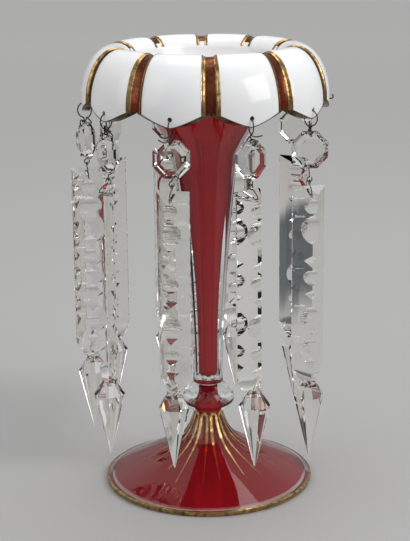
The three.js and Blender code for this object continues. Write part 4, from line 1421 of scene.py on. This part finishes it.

# %% [markdown]
# ## Floor and light
#
# The vase stands on pale grey paper under soft light from both sides and above. The floor is large,
# so that it fills the view behind the vase. Its colour is a painted shade, darker in front and
# lighter further back. Clear crystal has no colour of its own: it shows its surroundings, bent and
# turned over, and without something dark around it, it would vanish. So the paper is small. The
# bare table, dark blue-grey, begins to the right of the view and beyond the vase. A fainter dark
# area lies in front, and at the left a soft band of shadow is painted on the paper. All of them lie
# outside the camera's view or are too faint to see in it. Each soft edge goes along X or Y, in
# metres, and they are multiplied where both must hold and the larger one counts where either may.

# %% Floor
deselect()
bpy.ops.mesh.primitive_circle_add(vertices=96, radius=6, fill_type="NGON", location=(0, 0, 0))
floor = bpy.context.object
floor.name = "floor"
PAPER, tree = new_material("pale_grey_paper")
place = add_node(tree, "ShaderNodeTexCoord")
parts = add_node(tree, "ShaderNodeSeparateXYZ", links={"Vector": place.outputs["Object"]})
# painted shade: the paper's colour goes from darker near the vase to lighter 2.6 m behind it
shade_by_distance = add_node(tree, "ShaderNodeMapRange", values={"From Min": 0.1, "From Max": 2.6},
                    links={"Value": parts.outputs["Y"]})
painted_shade_near_far = add_node(tree, "ShaderNodeMix", settings={"data_type": "RGBA"},
                    values={"A": linear("#acacab"), "B": linear("#cacac9")},
                    links={"Factor": shade_by_distance.outputs[0]})
# the paper's right edge is a slanted line: 165 mm from the axis, and 140 mm more for each metre back
paper_edge = add_node(tree, "ShaderNodeMath", settings={"operation": "MULTIPLY_ADD"},
                      values={1: 0.14, 2: 0.165}, links={0: parts.outputs["Y"]})
past_edge = add_node(tree, "ShaderNodeMath", settings={"operation": "SUBTRACT"},
                     links={0: parts.outputs["X"], 1: paper_edge.outputs[0]})
print("floor", [round(size, 1) for size in floor.dimensions], "m")

# %% Dark areas of the floor
# what is measured, where the edge starts and ends, and how much it holds before and after
EDGES = {
    "right_of_paper": (past_edge.outputs[0], 0.0, 0.1, 0.0, 1.0),
    "beyond_vase": (parts.outputs["Y"], 0.3, 0.42, 0.0, 1.0),
    "not_too_far": (parts.outputs["Y"], 0.68, 0.77, 1.0, 0.0),
    "in_front": (parts.outputs["Y"], -0.24, -0.42, 0.0, 0.3),
    # painted shadow: this edge and the next two paint a soft band of shadow across the paper at the left
    "shadow_at_left": (parts.outputs["X"], -0.05, -0.13, 0.0, 0.2),
    "shadow_band_back": (parts.outputs["Y"], 0.26, 0.14, 0.0, 1.0),
    "shadow_band_front": (parts.outputs["Y"], 0.0, 0.05, 0.0, 1.0),
}
# a new area's name, how two are joined, and the two
JOINS = [
    ("depth", "MULTIPLY", "beyond_vase", "not_too_far"), ("table", "MULTIPLY", "right_of_paper", "depth"),
    ("dark", "MAXIMUM", "table", "in_front"), ("shadow_band_depth", "MULTIPLY", "shadow_band_back", "shadow_band_front"),
    # band is the painted shadow at the left; all holds the dark table, the dark area in front and that painted
    # shadow
    ("band", "MULTIPLY", "shadow_band_depth", "shadow_at_left"), ("all", "MAXIMUM", "dark", "band"),
]
areas = {}
for name, (measured, edge_start, edge_end, before, after) in EDGES.items():
    areas[name] = add_node(tree, "ShaderNodeMapRange", settings={"interpolation_type": "SMOOTHSTEP"}, values={
        "From Min": edge_start, "From Max": edge_end, "To Min": before, "To Max": after,
    }, links={"Value": measured})
for name, operation, first, second in JOINS:
    areas[name] = add_node(tree, "ShaderNodeMath", settings={"operation": operation},
                           links={0: areas[first].outputs[0], 1: areas[second].outputs[0]})
# the paper's painted shade, darkened by the table, the dark area in front and the painted shadow
shade = add_node(tree, "ShaderNodeMix", settings={"data_type": "RGBA"}, values={"B": linear("#45494f")},
                 links={"Factor": areas["all"].outputs[0], "A": painted_shade_near_far.outputs["Result"]})
paper = add_node(tree, "ShaderNodeBsdfPrincipled", values={"Roughness": 0.85, "IOR": 1.3},
                 links={"Base Color": shade.outputs["Result"]})
add_node(tree, "ShaderNodeOutputMaterial", links={"Surface": paper.outputs[0]})
floor.data.materials.append(PAPER)
print("made", PAPER.name, "with", len(EDGES), "soft edges")

# %% [markdown]
# A room's light is brighter from above than from the sides, so the world goes from dim at the
# horizon to bright overhead. Three soft boxes stand around the vase: a strong one at the right, a
# weak one at the left that fills the shadows, and one above.

# %% World and lamps
world = bpy.data.worlds.new("studio")
bpy.context.scene.world = world
world.use_nodes = True
tree = world.node_tree
tree.nodes.clear()
place = add_node(tree, "ShaderNodeTexCoord")
parts = add_node(tree, "ShaderNodeSeparateXYZ", links={"Vector": place.outputs["Generated"]})
height = add_node(tree, "ShaderNodeMapRange", settings={"interpolation_type": "SMOOTHSTEP"},
                  values={"From Min": 0.0, "From Max": 0.55, "To Min": 0.32, "To Max": 0.7},
                  links={"Value": parts.outputs["Z"]})
sky = add_node(tree, "ShaderNodeBackground", values={"Color": (1, 1, 1, 1)},
               links={"Strength": height.outputs[0]})
add_node(tree, "ShaderNodeOutputWorld", links={"Surface": sky.outputs[0]})


def softbox(name, at, target, size, power):
    """A rectangular lamp that looks at a target, with sizes in metres and its power in watts."""
    deselect()
    bpy.ops.object.light_add(type="AREA", location=at)
    lamp = bpy.context.object
    lamp.name = name
    lamp.data.shape = "RECTANGLE"
    lamp.data.size, lamp.data.size_y = size
    lamp.data.energy = power
    lamp.rotation_euler = (Vector(target) - Vector(at)).to_track_quat("-Z", "Y").to_euler()
    print(name, power, "W")


softbox("left_softbox", (-1.2, -0.7, 0.8), (0, 0, 0.17), (0.8, 1.1), 3.2)
softbox("right_softbox", (1.2, -0.8, 0.9), (0, 0, 0.17), (0.9, 1.0), 11.0)
softbox("top_softbox", (0.1, 0.2, 1.5), (0, 0, 0.15), (1.0, 1.0), 6.0)

# %% [markdown]
# ## The end
#
# The last step shows the colours through the Standard view transform.

# %% The end
bpy.context.scene.view_settings.view_transform = "Standard"
